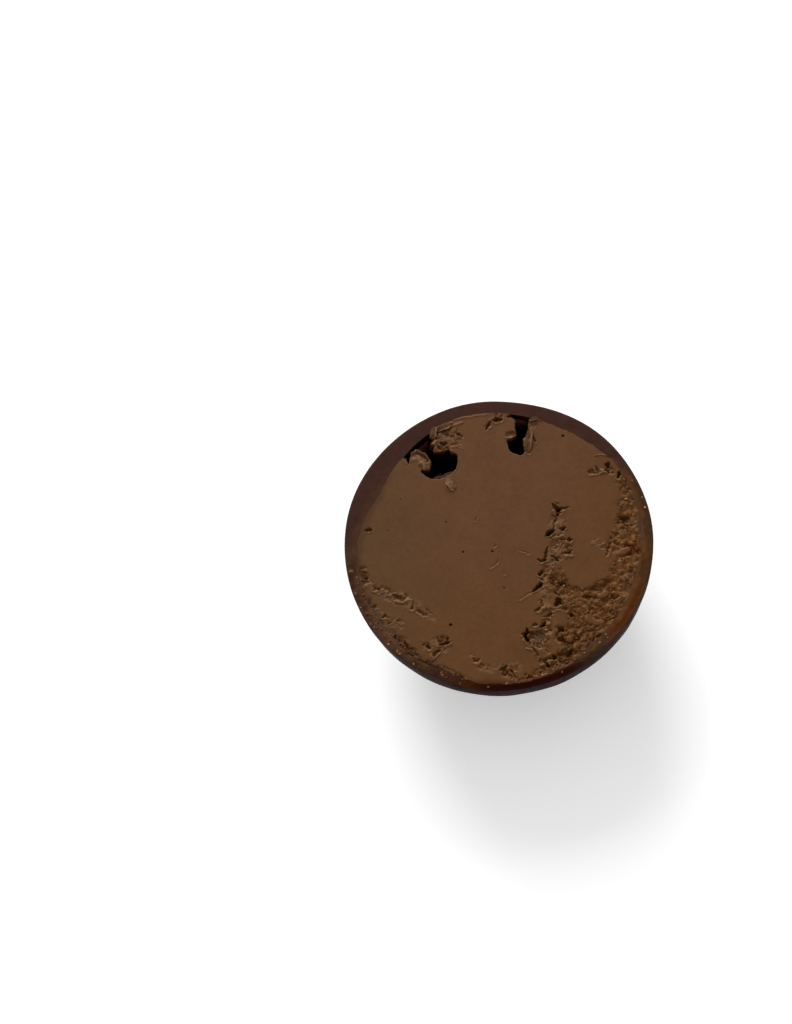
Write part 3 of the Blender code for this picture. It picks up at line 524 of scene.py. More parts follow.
def strokes_near(x, y, strokes, reach=0.5):
    """For each stroke: its first value, the points beside it, and their stroke_ratio."""
    for value, points in strokes:
        along_x, along_y, widths = zip(*points)
        pad = reach + 1.6 * max(widths)
        near = (x > min(along_x) - pad) & (x < max(along_x) + pad)
        near &= (y > min(along_y) - pad) & (y < max(along_y) + pad)
        if near.any():
            yield value, near, *stroke_ratio(x[near], y[near], points)


def rounded_outline(points, steps=3):
    """A closed curve through the points, as a denser outline."""
    corners = np.array(points)
    before, after = np.roll(corners, 1, axis=0), np.roll(corners, -1, axis=0)
    beyond = np.roll(corners, -2, axis=0)
    curve = []
    for step in range(steps):
        t = step / steps
        curve.append(
            0.5 * (
                2.0 * corners
                + (after - before) * t
                + (2.0 * before - 5.0 * corners + 4.0 * after - beyond) * t**2
                + (3.0 * corners - before - 3.0 * after + beyond) * t**3
            )
        )
    return np.stack(curve, axis=1).reshape(-1, 2)


def inside_distance(x, y, outline):
    """Distance from a closed outline, above zero inside it."""
    closed = [tuple(point) for point in outline]
    closed.append(closed[0])
    inside = np.zeros(x.shape, bool)
    for (ax, ay), (bx, by) in zip(closed, closed[1:]):
        if ay == by:
            continue
        crosses = (ay > y) != (by > y)
        inside ^= crosses & (x < (bx - ax) * (y - ay) / (by - ay) + ax)
    return np.where(inside, 1.0, -1.0) * line_distance(x, y, closed)


HOLE_OUTLINES = [(rounded_outline(points), depth) for points, depth in HOLES]


def into_hole(x, y, outline):
    """Distance inside a hole's mouth, worked out only for the points beside it."""
    low, high = outline.min(axis=0) - 1.0, outline.max(axis=0) + 1.0
    near = (x > low[0]) & (x < high[0]) & (y > low[1]) & (y < high[1])
    into = np.full_like(x, -FAR)
    into[near] = inside_distance(x[near], y[near], outline)
    return into


def crumbled(x, y):
    """0 on the smooth cut to 1 where the filling crumbled away."""
    reach = np.full_like(x, -FAR)
    for points in CRUMBLED:
        reach = np.maximum(reach, -stroke_ratio(x, y, points)[1])
    broken = smooth(-0.2, 0.35, reach + 0.34 * noise(x * 1.3, y * 1.3, 3))
    for points in PLATEAUS:
        ratio = stroke_ratio(x, y, points)[0]
        broken = broken * smooth(0.85, 1.1, ratio + 0.15 * noise(x * 3.1, y * 3.1, 2))
    return broken


def loose_depth(x, y):
    """How far the crumbled filling lies below the knife's plane."""
    x = x + 0.14 * noise(x * 1.6 + 1.0, y * 1.6, 2)
    y = y + 0.14 * noise(x * 1.6, y * 1.6 + 5.0, 2)
    broad = noise(x / 1.8 + 3.1, y / 1.8, 2)
    chunks = crumbs(x / 0.95, y / 0.9)
    clods = crumbs(x / 0.55 + 4.4, y / 0.55 + 8.2)
    grit = noise(x / 0.25 + 7.3, y / 0.3 + 2.1)
    pits = smooth(0.5, 0.95, noise(x / 1.1 + 9.0, y / 1.1 + 4.0, 2))
    depth = 0.31 - 0.14 * broad - 0.36 * chunks - 0.12 * clods - 0.02 * grit + 0.3 * pits
    return np.maximum(depth, 0.0)


def dragged(x, y):
    """0 on the clean cut to 1 in the middle of a dragged stretch."""
    reach = np.full_like(x, -FAR)
    for points in DRAGGED:
        reach = np.maximum(reach, 1.0 - stroke_ratio(x, y, points)[0])
    return smooth(0.0, 0.55, reach + 0.25 * noise(x * 1.4, y * 1.4, 2))


def drag_marks(x, y):
    """Height of the lumps and tears in a dragged stretch."""
    x = x + 0.12 * noise(x * 3.0 + 2.0, y * 3.0, 2)
    y = y + 0.12 * noise(x * 3.0, y * 3.0 + 6.0, 2)
    lumps = 0.08 * noise(x * 1.3, y * 1.3 + 3.0, 2) + 0.035 * noise(x * 3.6, y * 3.6, 2)
    tears = smooth(0.22, 0.5, noise(x * 1.4 + 4.0, y * 1.4 + 1.0, 3))
    return lumps - tears * (0.14 + 0.06 * noise(x * 5.0, y * 5.0, 2))


def ragged(x, y):
    """The place with its edges made uneven, for all that broke rather than was cut."""
    ragged_x = x + 0.07 * noise(x * 2.1 + 5.3, y * 2.1, 2) + 0.035 * noise(x * 6.0, y * 6.0, 2)
    ragged_y = y + 0.07 * noise(x * 2.1, y * 2.1 + 8.1, 2) + 0.035 * noise(x * 6.0 + 3.0, y * 6.0, 2)
    return ragged_x, ragged_y


def relief(x, y):
    """Height of the cut face of the filling above the knife's plane."""
    rx, ry = ragged(x, y)
    fine = noise(x * 7.0, y * 7.0, 2)
    z = 0.02 * noise(x * 0.3, y * 0.3) + 0.004 * noise(x * 1.4, y * 0.5, 2)
    z = z + dragged(x, y) * drag_marks(x, y)
    angle, radius = polar(x, y)
    z = z - crumbled(x, y) * loose_depth(x, y) * smooth(-0.3, 0.6, inner_rim(angle) - radius)
    for height, near, ratio, _, _ in strokes_near(rx, ry, RIDGES):
        z[near] += height * np.exp(-(ratio**2)) * (1.0 + 0.25 * fine[near])
    for depth, near, _, past, side in strokes_near(rx, ry, CAVITIES, 0.6):
        past = past + 0.03 * fine[near]
        lit_side = smooth(0.3, -0.8, side) * min(1.0, 1.8 * depth)
        reach = 0.03 + LIT_WALL * lit_side
        z[near] += 0.07 * lit_side * np.exp(-(((past - reach - 0.06) / 0.08) ** 2))
        hollow = smooth(reach, -0.12, past)
        z[near] -= depth * (0.3 + 0.5 * depth) * hollow * (1.0 + 0.3 * fine[near])
    for px, py, radius in BUBBLES:
        share = np.hypot(x - px, y - py) / radius
        z = np.minimum(z, -1.6 * radius * (1.0 - share**2))
    for outline, depth in HOLE_OUTLINES:
        z = z + (-0.6 - z) * smooth(0.0, 0.15, into_hole(rx, ry, outline))
        into = into_hole(x, y, outline) - 0.1
        floor = -depth * (0.7 + 0.3 * smooth(0.0, HOLE_ROUNDING, into)) + 0.3 * noise(x, y, 2)
        z = z + (floor - z) * smooth(0.0, HOLE_WALL, into)
    for height, near, ratio, _, _ in strokes_near(rx, ry, SHELVES):
        shelf = height - 0.9 * smooth(0.6, 1.6, ratio) ** 2 * 3.0 + 0.05 * fine[near]
        inside = z[near] < height - 0.1
        z[near] = np.where(inside & (ratio < 1.5), np.maximum(z[near], shelf), z[near])
    return z


def wall_at(angle, slope):
    """Width of the shell's wall at an angle round it, slope 0 at the rim, 90 at the foot."""
    share = smooth(0.0, math.radians(40.0), slope)
    return around(angle, WALL_WIDTH) * (1.0 - share) + WALL * share


def border_wobble(angle, slope):
    """How far the praline's edge strays into the shell, where the knife smeared it."""
    x, y = np.cos(angle), np.sin(angle)
    smeared = 0.35 + 0.65 * arc_share(angle, 165, 420, 10.0)
    wobble = 0.13 * noise(x * 9.0, y * 9.0, 2) + 0.06 * noise(x * 31.0, y * 31.0, 2)
    return wobble * smeared * smooth(math.radians(12.0), 0.0, slope)


def edge_drop(angle, from_edge):
    """How far the cut edge is rounded off, most where the knife left at the near side."""
    rounded = 0.10 * smooth(0.16, 0.0, from_edge)
    return rounded + 0.45 * arc_share(angle, 246, 296, 8.0) * smooth(0.8, 0.0, from_edge)


def inner_radius(angle, slope, overlap=0.03):
    """Where the filling meets the shell's wall, with a little overlap so no gap shows."""
    rim = around(angle, RIM_RADIUS) - wall_at(angle, slope) + overlap
    return (rim + border_wobble(angle, slope)) * np.cos(slope)


def inner_rim(angle, overlap=0.03):
    """Where the filling meets the shell's wall on the cut itself."""
    return inner_radius(angle, np.zeros_like(angle), overlap)


def square_to_disc(u, v):
    """Takes a square of -1 to 1 to a round disc of radius 1."""
    return u * np.sqrt(1.0 - 0.5 * v * v), v * np.sqrt(1.0 - 0.5 * u * u)


def needs_detail(x, y, cell):
    """True where a cell of this size is too coarse for what it shows."""
    fine = cell < 0.2
    margin = 0.06 if fine else 0.25
    detail = crumbled(x, y) > (0.25 if fine else 0.02)
    detail |= dragged(x, y) > (0.3 if fine else 0.02)
    for outline, _ in HOLE_OUTLINES:
        into = into_hole(x, y, outline)
        detail |= (into > -0.3) & (into < 0.5)
    for _, near, _, past, _ in strokes_near(x, y, CAVITIES + RIDGES + SHELVES):
        detail[near] |= past < 0.3 + margin
    for px, py, radius in BUBBLES:
        detail |= np.hypot(x - px, y - py) < radius + margin
    if not fine:
        detail |= np.hypot(x, y) > SPLIT_BEYOND
    return detail


def mix(one, other, share):
    """Blends colours, each one colour or a row of them, by a share for each point."""
    share = np.asarray(share)[:, None]
    return np.asarray(one) * (1.0 - share) + np.asarray(other) * share


def layered(tone, *layers):
    """Lays colours over a tone in turn, each by its share for every point."""
    for colour, share in layers:
        tone = mix(tone, colour, share)
    return tone


def ring_smears(angle, x, y):
    """The shares of grey, olive, dark and oily smear round the edge of the cut."""
    patchy = np.clip(0.55 + 0.8 * noise(x * 1.7 + 2.0, y * 1.7, 3), 0.0, 1.0)
    grey = arc_share(angle, 172, 238) * (0.5 + 0.5 * patchy)
    grey = np.maximum(grey, arc_share(angle, 290, 308) * (0.7 + 0.3 * patchy))
    grey = np.maximum(grey, arc_share(angle, -8, 12) * (0.2 + 0.5 * patchy))
    olive = arc_share(angle, -46, 24, 7.0) * (0.8 + 0.2 * patchy)
    mottled = np.clip(0.5 + 0.9 * noise(x * 2.4 + 11.0, y * 2.4, 3), 0.0, 1.0)
    dark = arc_share(angle, 176, 250) * smooth(0.5, 0.85, mottled)
    dark = dark * (1.0 - 0.75 * arc_share(angle, 202, 220, 6.0))
    dark = np.maximum(dark, arc_share(angle, 218, 262, 12.0) * (0.3 + 0.5 * mottled))
    dark = np.maximum(dark, arc_share(angle, 282, 306, 6.0) * (0.4 + 0.4 * mottled))
    oily = arc_share(angle, -52, -28, 6.0)
    return grey, olive, dark, oily


def towards_window(x, y, reach=0.06):
    """How steeply the surface falls towards the far side, where the light comes from."""
    return (relief(x, y - reach) - relief(x, y + reach)) / (2.0 * reach)


def crumb_tone(x, y, z):
    """The colour of the crumbled filling, with painted highlight on the crumbs and painted shade
    between them.
    """
    level = z + 0.12 * noise(x * 1.4 + 6.0, y * 1.4, 3)
    loose = layered(
        CRUMB_DARK,
        (CRUMB_TONE, smooth(-0.42, -0.18, level)),
        (CRUMB_LIGHT, 0.75 * smooth(-0.16, 0.02, level)),
        (CREVICE_SHADE, 0.5 * smooth(-0.45, -0.85, z)),
    )
    loose = loose * (0.92 + 0.38 * smooth(6.0, 10.0, x))[:, None]
    return mix(loose * (1.0, 0.88, 0.5), loose, smooth(5.0, 10.0, x + 0.5 * (y + 8.0)))


def hole_shading(x, y, z):
    """The colour inside the air holes: painted shade, nearly black deep down, with the colour of their
    far walls near the mouth and of the left one's ledge.
    """
    sloping = smooth(0.0, 0.6, y - np.where(x < 0.0, 11.1, 12.1)) * smooth(-3.2, -1.6, z)
    inner = mix(HOLLOW_SHADE, WALL_OF_HOLE, sloping)
    inner = inner * (1.0 + 0.6 * noise(x * 1.6 + z, y * 1.6 + 0.8 * z, 2))[:, None]
    ledge = smooth(9.1, 8.7, y) * smooth(-0.9, -0.6, z) * (x < 0.0)
    return mix(inner, LEDGE_TONE, ledge)


def praline_paint(x, y, z):
    """The filling's colour and gloss at each point of its surface, with painted highlight on lit
    slopes and raised edges and painted shade in sunk places and holes.
    """
    angle, radius = polar(x, y)
    tone = layered(
        CUT_LEFT,
        (CUT_MIDDLE, smooth(-13.0, -2.0, x)),
        (CUT_RIGHT, smooth(2.0, 13.0, x - 0.4 * y)),
        (CUT_LOW, 0.8 * smooth(2.0, -12.0, y)),
    )
    tone = tone * (1.0 + 0.04 * noise(x * 0.35, y * 0.35, 3) + 0.025 * noise(x, y, 2))[:, None]
    broken, torn = crumbled(x, y), dragged(x, y)
    solid = 1.0 - broken
    # Painted highlight laid in patches over the dragged stretches of the solid cut
    scuff_highlight = torn * solid * smooth(0.0, 0.7, noise(x * 2.0, y * 2.0 + 7.0, 2))
    # Painted highlight on slopes that fall towards the window light
    lit = smooth(0.12, 0.8, towards_window(x, y)) * smooth(-0.45, -0.12, z)
    tone = layered(
        tone,
        (PAINTED_HIGHLIGHT, 0.3 * scuff_highlight),
        (crumb_tone(x, y, z), broken * smooth(-0.02, -0.12, z)),
        # Painted shade: sunk places of the solid cut darken with depth
        (CRUMB_DARK, 0.6 * smooth(-0.05, -0.2, z) * solid),
        (CREVICE_SHADE, 0.6 * smooth(-0.3, -0.65, z) * solid),
        # Painted highlight on slopes facing the light and on raised edges
        (PAINTED_HIGHLIGHT, (0.9 - 0.5 * broken) * lit),
        (PAINTED_HIGHLIGHT, 0.65 * smooth(0.04, 0.18, z)),
    )
    # Painted shade inside the air holes
    inner = hole_shading(x, y, z)
    for outline, _ in HOLE_OUTLINES:
        into = into_hole(x, y, outline)
        tone = mix(tone, inner, smooth(0.0, 0.08, into) * smooth(-0.05, -0.25, z))
    # Painted highlight: bright glints among the crumbled and dragged stretches
    glints = noise(x * 3.6 + 2.0, y * 3.6, 2) * np.maximum(broken, 0.8 * torn)
    inside_grey = stroke_ratio(x, y, GREY_CAVITY)[0] + 0.2 * noise(x * 2.0, y * 2.0, 2)
    grey, olive, dark, oily = ring_smears(angle, x, y)
    edge = inner_rim(angle) - radius
    on_top = smooth(-0.6, -0.2, z)
    near = smooth(0.7, 0.0, edge + 0.35 * noise(x * 1.5, y * 1.5, 3)) * on_top
    soft = arc_share(angle, *SOFT_BORDER) * smooth(0.9, -0.1, edge + 0.25 * noise(x, y, 2))
    strips = bottom_strips(x, y)
    tone = layered(
        tone,
        (GLINT_TONE, 0.4 * smooth(0.72, 0.98, glints) * smooth(-0.5, -0.2, z)),
        (GREY_INSIDE, 0.8 * smooth(1.0, 0.7, inside_grey) * smooth(-0.03, -0.15, z)),
        (SMEAR_GREY, 0.85 * grey * near),
        (SMEAR_OLIVE, 0.7 * olive * near),
        (SMEAR_DARK, 0.8 * dark * near),
        (OILY_TONE, 0.5 * oily * near),
        (BORDER_TONE, 0.8 * soft * on_top),
        (OILY_TONE, 0.75 * strips),
    )
    # Painted shade inside the tiny bubbles
    for px, py, size in BUBBLES:
        tone = mix(tone, CREVICE_SHADE, smooth(1.3, 0.7, np.hypot(x - px, y - py) / size))
    gloss = np.clip(0.9 * oily * near + 0.9 * strips + 0.3 * broken, 0.0, 1.0)
    return tone, gloss


def bottom_strips(x, y):
    """Two streaks of darker, oilier praline near the foot of the face."""
    streak = np.zeros_like(x)
    for points in OILY_STREAKS:
        ratio = stroke_ratio(x, y, points)[0]
        streak = np.maximum(streak, smooth(1.1, 0.7, ratio))
    return streak


def wall_paint(x, y):
    """The colour and gloss of the shell's cut wall at each point, with a painted highlight along its
    outer edge and partly painted shade on its rounded near edge.
    """
    angle, radius = polar(x, y)
    outer = around(angle, RIM_RADIUS) - radius
    inner = radius - inner_rim(angle)
    grey, olive, dark, oily = ring_smears(angle, x, y)
    uneven = 0.3 * noise(x * 1.6, y * 1.6, 3)
    browner = 0.6 * smooth(0.1, 0.6, noise(x * 1.9, y * 1.9 + 2.0, 3))
    band = np.exp(-(((outer - 0.5) / 0.28) ** 2))
    smeared = np.maximum(np.maximum(grey, olive), oily)
    at_praline = smooth(0.16, 0.04, inner) * np.maximum(olive, oily)
    at_praline = np.maximum(at_praline, smooth(0.5, 0.0, inner + uneven))
    wedge = arc_share(angle, *SOFT_BORDER) * smooth(1.0, 0.0, inner + uneven)
    tone = layered(
        np.asarray(SHELL_CUT) * (1.0 + 0.10 * noise(x * 1.2, y * 1.2, 3))[:, None],
        (SMEAR_GREY, grey),
        (SMEAR_OLIVE, olive),
        (CRUMB_DARK, olive * browner),
        (SMEAR_DARK, 0.75 * dark),
        (CUT_LOW, 0.6 * oily),
        (OILY_TONE, oily * (0.2 + 0.8 * band)),
        (CUT_LOW, 0.85 * smeared * at_praline),
        (BORDER_TONE, 0.7 * wedge),
        (OILY_TONE, 0.8 * bottom_strips(x, y)),
    )
    shade = 0.22 * arc_share(angle, 198, 219, 6.0) - 0.15 * arc_share(angle, 226, 238, 6.0)
    shade -= 0.15 * arc_share(angle, 0, 14, 6.0)
    # Painted highlight along the outer edge of the cut wall
    line = np.exp(-((outer / 0.12) ** 2)) * (1.0 - arc_share(angle, 250, 295, 8.0))
    tone = layered(
        tone * (1.0 + shade)[:, None],
        (OILY_TONE, 0.35 * arc_share(angle, 239, 252, 5.0)),
        # Dark red band on the rounded near edge: its own colour, deepened as painted shade where the
        # edge turns down
        (RED_EDGE, arc_share(angle, 252, 292, 8.0) * smooth(0.6, 0.4, outer)),
        (SHELL_EDGE_HIGHLIGHT, 0.5 * line),
    )
    gloss = np.clip(0.15 + 0.6 * oily + 0.2 * grey, 0.0, 1.0)
    return tone, gloss


def set_paint(mesh, tone, gloss):
    """Keeps the colour and gloss worked out for each vertex with the mesh."""
    paint = mesh.color_attributes.new("paint", "FLOAT_COLOR", "POINT")
    colours = np.ones((len(mesh.vertices), 4), np.float32)
    colours[:, :3] = tone
    paint.data.foreach_set("color", colours.ravel())
    shine = mesh.attributes.new("gloss", "FLOAT", "POINT")
    shine.data.foreach_set("value", np.asarray(gloss, np.float32))


def points_of(mesh):
    """The mesh's vertices in millimetres from the middle of the cut face."""
    flat = np.empty(len(mesh.vertices) * 3, np.float32)
    mesh.vertices.foreach_get("co", flat)
    points = flat.reshape(-1, 3).astype(float) / MM
    points[:, 2] -= FACE_HEIGHT
    return points


def to_object(bm, name, finishes, sharp_degrees=60.0):
    """Turns the bmesh, in millimetres from the face's middle, into an object in metres."""
    bmesh.ops.translate(bm, verts=bm.verts, vec=(0.0, 0.0, FACE_HEIGHT))
    bmesh.ops.scale(bm, verts=bm.verts, vec=(MM, MM, MM))
    mesh = bpy.data.meshes.new(name)
    bm.to_mesh(mesh)
    bm.free()
    mesh.shade_smooth()
    mesh.set_sharp_from_angle(angle=math.radians(sharp_degrees))
    for finish in finishes:
        mesh.materials.append(finish)
    obj = bpy.data.objects.new(name, mesh)
    bpy.context.scene.collection.objects.link(obj)
    return obj


def node(tree, kind, **values):
    """Adds a shader node and sets its properties."""
    made = tree.nodes.new(kind)
    for name, value in values.items():
        setattr(made, name, value)
    return made


def noise_node(tree, scale, detail=3.0, roughness=0.5, stretch=None):
    """Noise on Object coordinates, scale in bumps per metre, stretched along an axis."""
    place = node(tree, "ShaderNodeTexCoord")
    made = node(tree, "ShaderNodeTexNoise")
    made.inputs["Scale"].default_value = scale
    made.inputs["Detail"].default_value = detail
    made.inputs["Roughness"].default_value = roughness
    source = place.outputs["Object"]
    if stretch:
        turned = node(tree, "ShaderNodeMapping")
        turned.inputs["Scale"].default_value = stretch
        tree.links.new(source, turned.inputs["Vector"])
        source = turned.outputs["Vector"]
    tree.links.new(source, made.inputs["Vector"])
    return made.outputs["Fac"]


def map_range(tree, source, low, high, to_low, to_high):
    made = node(tree, "ShaderNodeMapRange")
    tree.links.new(source, made.inputs["Value"])
    for name, value in (
        ("From Min", low), ("From Max", high), ("To Min", to_low), ("To Max", to_high),
    ):
        made.inputs[name].default_value = value
    return made.outputs["Result"]


def mix_colour(tree, share, one, other):
    """Mixes two colours, each a socket or a plain colour, by a socket."""
    made = node(tree, "ShaderNodeMix", data_type="RGBA")
    tree.links.new(share, made.inputs[0])
    for socket, value in ((6, one), (7, other)):
        if isinstance(value, bpy.types.NodeSocket):
            tree.links.new(value, made.inputs[socket])
        else:
            made.inputs[socket].default_value = (*value, 1.0)
    return made.outputs[2]


def bump(tree, height, strength, distance, under=None):
    made = node(tree, "ShaderNodeBump")
    made.inputs["Strength"].default_value = strength
    made.inputs["Distance"].default_value = distance
    tree.links.new(height, made.inputs["Height"])
    if under is not None:
        tree.links.new(under, made.inputs["Normal"])
    return made.outputs["Normal"]


def product(tree, one, other):
    """Multiplies two sockets and keeps the result between 0 and 1."""
    made = node(tree, "ShaderNodeMath", operation="MULTIPLY", use_clamp=True)
    tree.links.new(one, made.inputs[0])
    tree.links.new(other, made.inputs[1])
    return made.outputs[0]


def new_material(name, specular):
    """A material with the given shine, its node tree and its shader."""
    made = bpy.data.materials.new(name)
    made.use_nodes = True
    shader = made.node_tree.nodes["Principled BSDF"]
    shader.inputs["Specular IOR Level"].default_value = specular
    return made, made.node_tree, shader


def painted_material(name, specular, rough_dull, rough_shiny, grain, grain_depth):
    """A finish that takes its colour and gloss from the mesh, with a fine grain over them."""
    made, tree, shader = new_material(name, specular)
    paint = node(tree, "ShaderNodeVertexColor", layer_name="paint")
    fine = noise_node(tree, grain, 4.0, 0.6)
    shade = map_range(tree, fine, 0.3, 0.7, 0.92, 1.08)
    coloured = node(tree, "ShaderNodeVectorMath", operation="SCALE")
    tree.links.new(paint.outputs["Color"], coloured.inputs[0])
    tree.links.new(shade, coloured.inputs["Scale"])
    tree.links.new(coloured.outputs["Vector"], shader.inputs["Base Color"])
    gloss = node(tree, "ShaderNodeAttribute", attribute_name="gloss")
    rough = map_range(tree, gloss.outputs["Fac"], 0.0, 1.0, rough_dull, rough_shiny)
    tree.links.new(rough, shader.inputs["Roughness"])
    tree.links.new(bump(tree, fine, 0.3, grain_depth), shader.inputs["Normal"])
    return made


def shell_material():
    """Dark chocolate from a mould: satin, mottled, with a haze of bloom near the cut."""
    made, tree, shader = new_material("moulded_chocolate", 0.006)
    broad = noise_node(tree, 160.0, 4.0, 0.55)
    patches = map_range(tree, broad, 0.35, 0.65, 0.0, 1.0)
    dark = mix_colour(tree, patches, SHELL_DARK, SHELL_LIGHT)
    place = node(tree, "ShaderNodeTexCoord")
    split = node(tree, "ShaderNodeSeparateXYZ")
    tree.links.new(place.outputs["Object"], split.inputs[0])
    near_cut = map_range(
        tree, split.outputs["Z"], (FACE_HEIGHT - 3.5) * MM, FACE_HEIGHT * MM, 0.0, 1.0
    )
    speckle = noise_node(tree, 3200.0, 3.0, 0.65)
    specks = map_range(tree, speckle, 0.48, 0.72, 0.0, 1.0)
    clouds = map_range(tree, noise_node(tree, 420.0), 0.35, 0.7, 0.1, 0.9)
    haze = product(tree, near_cut, clouds)
    hazed = mix_colour(tree, haze, dark, SHELL_HAZE)
    speckled = mix_colour(tree, product(tree, haze, specks), hazed, SHELL_BLOOM)
    tree.links.new(speckled, shader.inputs["Base Color"])
    scuffs = noise_node(tree, 900.0, 4.0, 0.6, (1.0, 0.25, 1.0))
    rough = map_range(tree, scuffs, 0.3, 0.7, 0.38, 0.55)
    tree.links.new(rough, shader.inputs["Roughness"])
    soft = bump(tree, broad, 0.25, 0.0004)
    tree.links.new(bump(tree, scuffs, 0.2, 0.00003, soft), shader.inputs["Normal"])
    return made


def sugar_material():
    """Sugar grains: pale, a little clear and shiny."""
    made, _, shader = new_material("sugar", 0.3)
    shader.inputs["Base Color"].default_value = (*SUGAR_TONE, 1.0)
    shader.inputs["Roughness"].default_value = 0.3
    shader.inputs["Subsurface Weight"].default_value = 0.3
    shader.inputs["Subsurface Scale"].default_value = 0.0002
    return made


def split_where_detailed(bm):
    """Halves the cells of the face's grid twice, where the relief asks for it."""
    cell = 2.0 * MEAN_RADIUS / FACE_CELLS
    for _ in range(2):
        faces = list(bm.faces)
        centres = np.array([face.calc_center_median()[:2] for face in faces])
        sides = np.array([face.calc_area() for face in faces]) ** 0.5 * MEAN_RADIUS
        x, y = square_to_disc(centres[:, 0], centres[:, 1])
        level = inner_rim(np.arctan2(y, x))
        wanted = needs_detail(x * level, y * level, cell)
        wanted &= sides < 1.2 * cell
        chosen = [face for face, want in zip(faces, wanted) if want]
        edges = {edge for face in chosen for edge in face.edges}
        bmesh.ops.subdivide_edges(bm, edges=list(edges), cuts=1, use_grid_fill=True)
        cell *= 0.5


def close_with_dome(bm, depth):
    """Carries the edge of the face down inside the shell and closes it at the foot."""
    edges = [edge for edge in bm.edges if edge.is_boundary]
    first_slope = {
        vert: math.asin(min(1.0, max(0.0, -vert.co.z / depth)))
        for edge in edges
        for vert in edge.verts
    }
    for ring in range(1, FILLING_RINGS + 1):
        made = bmesh.ops.extrude_edge_only(bm, edges=edges)["geom"]
        edges = [item for item in made if isinstance(item, bmesh.types.BMEdge)]
        lower = {}
        for vert in (item for item in made if isinstance(item, bmesh.types.BMVert)):
            above = [edge.other_vert(vert) for edge in vert.link_edges]
            lower[vert] = next(first_slope[other] for other in above if other in first_slope)
        rings = list(lower.items())
        angle = np.array([math.atan2(vert.co.y, vert.co.x) for vert, _ in rings])
        first = np.array([slope for _, slope in rings])
        slope = first + (FOOT_SLOPE - first) * ring / FILLING_RINGS
        radius = inner_radius(angle, slope)
        for (vert, _), at, out, down in zip(rings, angle, radius, slope):
            vert.co = (out * math.cos(at), out * math.sin(at), -depth * math.sin(down))
        first_slope = lower
    bmesh.ops.contextual_create(bm, geom=edges)


def make_praline(finish):
    """The filling: a disc of cells raised and sunk by the relief, closed by a dome."""
    bm = bmesh.new()
    bmesh.ops.create_grid(bm, x_segments=FACE_CELLS, y_segments=FACE_CELLS, size=1.0)
    split_where_detailed(bm)
    bmesh.ops.triangulate(bm, faces=bm.faces, quad_method="BEAUTY", ngon_method="BEAUTY")
    bm.verts.index_update()
    square = np.array([vert.co[:2] for vert in bm.verts])
    x, y = square_to_disc(square[:, 0], square[:, 1])
    angle = np.arctan2(y, x)
    depth = DOME_DEPTH - WALL
    level = inner_rim(angle)
    x, y = x * level, y * level
    z = relief(x, y)
    slope = np.arcsin(np.clip(-z / depth, 0.0, 1.0))
    room = inner_radius(angle, slope) / np.maximum(np.hypot(x, y), 1e-6)
    x, y = x * np.minimum(1.0, room), y * np.minimum(1.0, room)
    for vert in bm.verts:
        vert.co = (x[vert.index], y[vert.index], z[vert.index])
    close_with_dome(bm, depth)
    bmesh.ops.recalc_face_normals(bm, faces=bm.faces)
    obj = to_object(bm, "praline_half", [finish], 70.0)
    set_paint(obj.data, *praline_paint(*points_of(obj.data).T))
    return obj


def make_shell(outside, cut):
    """The half shell: a wall's profile spun round, made uneven, its cut edge softened."""
    inner_depth = DOME_DEPTH - WALL
    wall_radius = MEAN_RADIUS - WALL
    foot = math.acos(FLAT_RADIUS / MEAN_RADIUS)
    slopes = [foot * step / SHELL_RINGS for step in range(SHELL_RINGS + 1)]
    profile = [(0.0, -FACE_HEIGHT)]
    profile += [
        (MEAN_RADIUS * math.cos(slope), -DOME_DEPTH * math.sin(slope))
        for slope in reversed(slopes)
    ]
    profile += [(MEAN_RADIUS - WALL * step / WALL_STEPS, 0.0) for step in range(1, WALL_STEPS)]
    profile += [
        (wall_radius * math.cos(slope), -inner_depth * math.sin(slope)) for slope in slopes[::2]
    ]
    profile.append((0.0, -inner_depth))
    bm = bmesh.new()
    ring = [bm.verts.new((radius, 0.0, z)) for radius, z in profile]
    edges = [bm.edges.new(pair) for pair in zip(ring, ring[1:])]
    bmesh.ops.spin(
        bm, geom=ring + edges, cent=(0, 0, 0), axis=(0, 0, 1), angle=math.tau,
        steps=SHELL_STEPS, use_merge=True,
    )
    bmesh.ops.remove_doubles(bm, verts=bm.verts, dist=0.001)
    bmesh.ops.recalc_face_normals(bm, faces=bm.faces)
    for face in bm.faces:
        if min(vert.co.z for vert in face.verts) > -1e-4:
            face.material_index = 1
    shape_shell(bm, inner_depth)
    obj = to_object(bm, "chocolate_shell", [outside, cut], 60.0)
    x, y, _ = points_of(obj.data).T
    set_paint(obj.data, *wall_paint(x, y))
    return obj


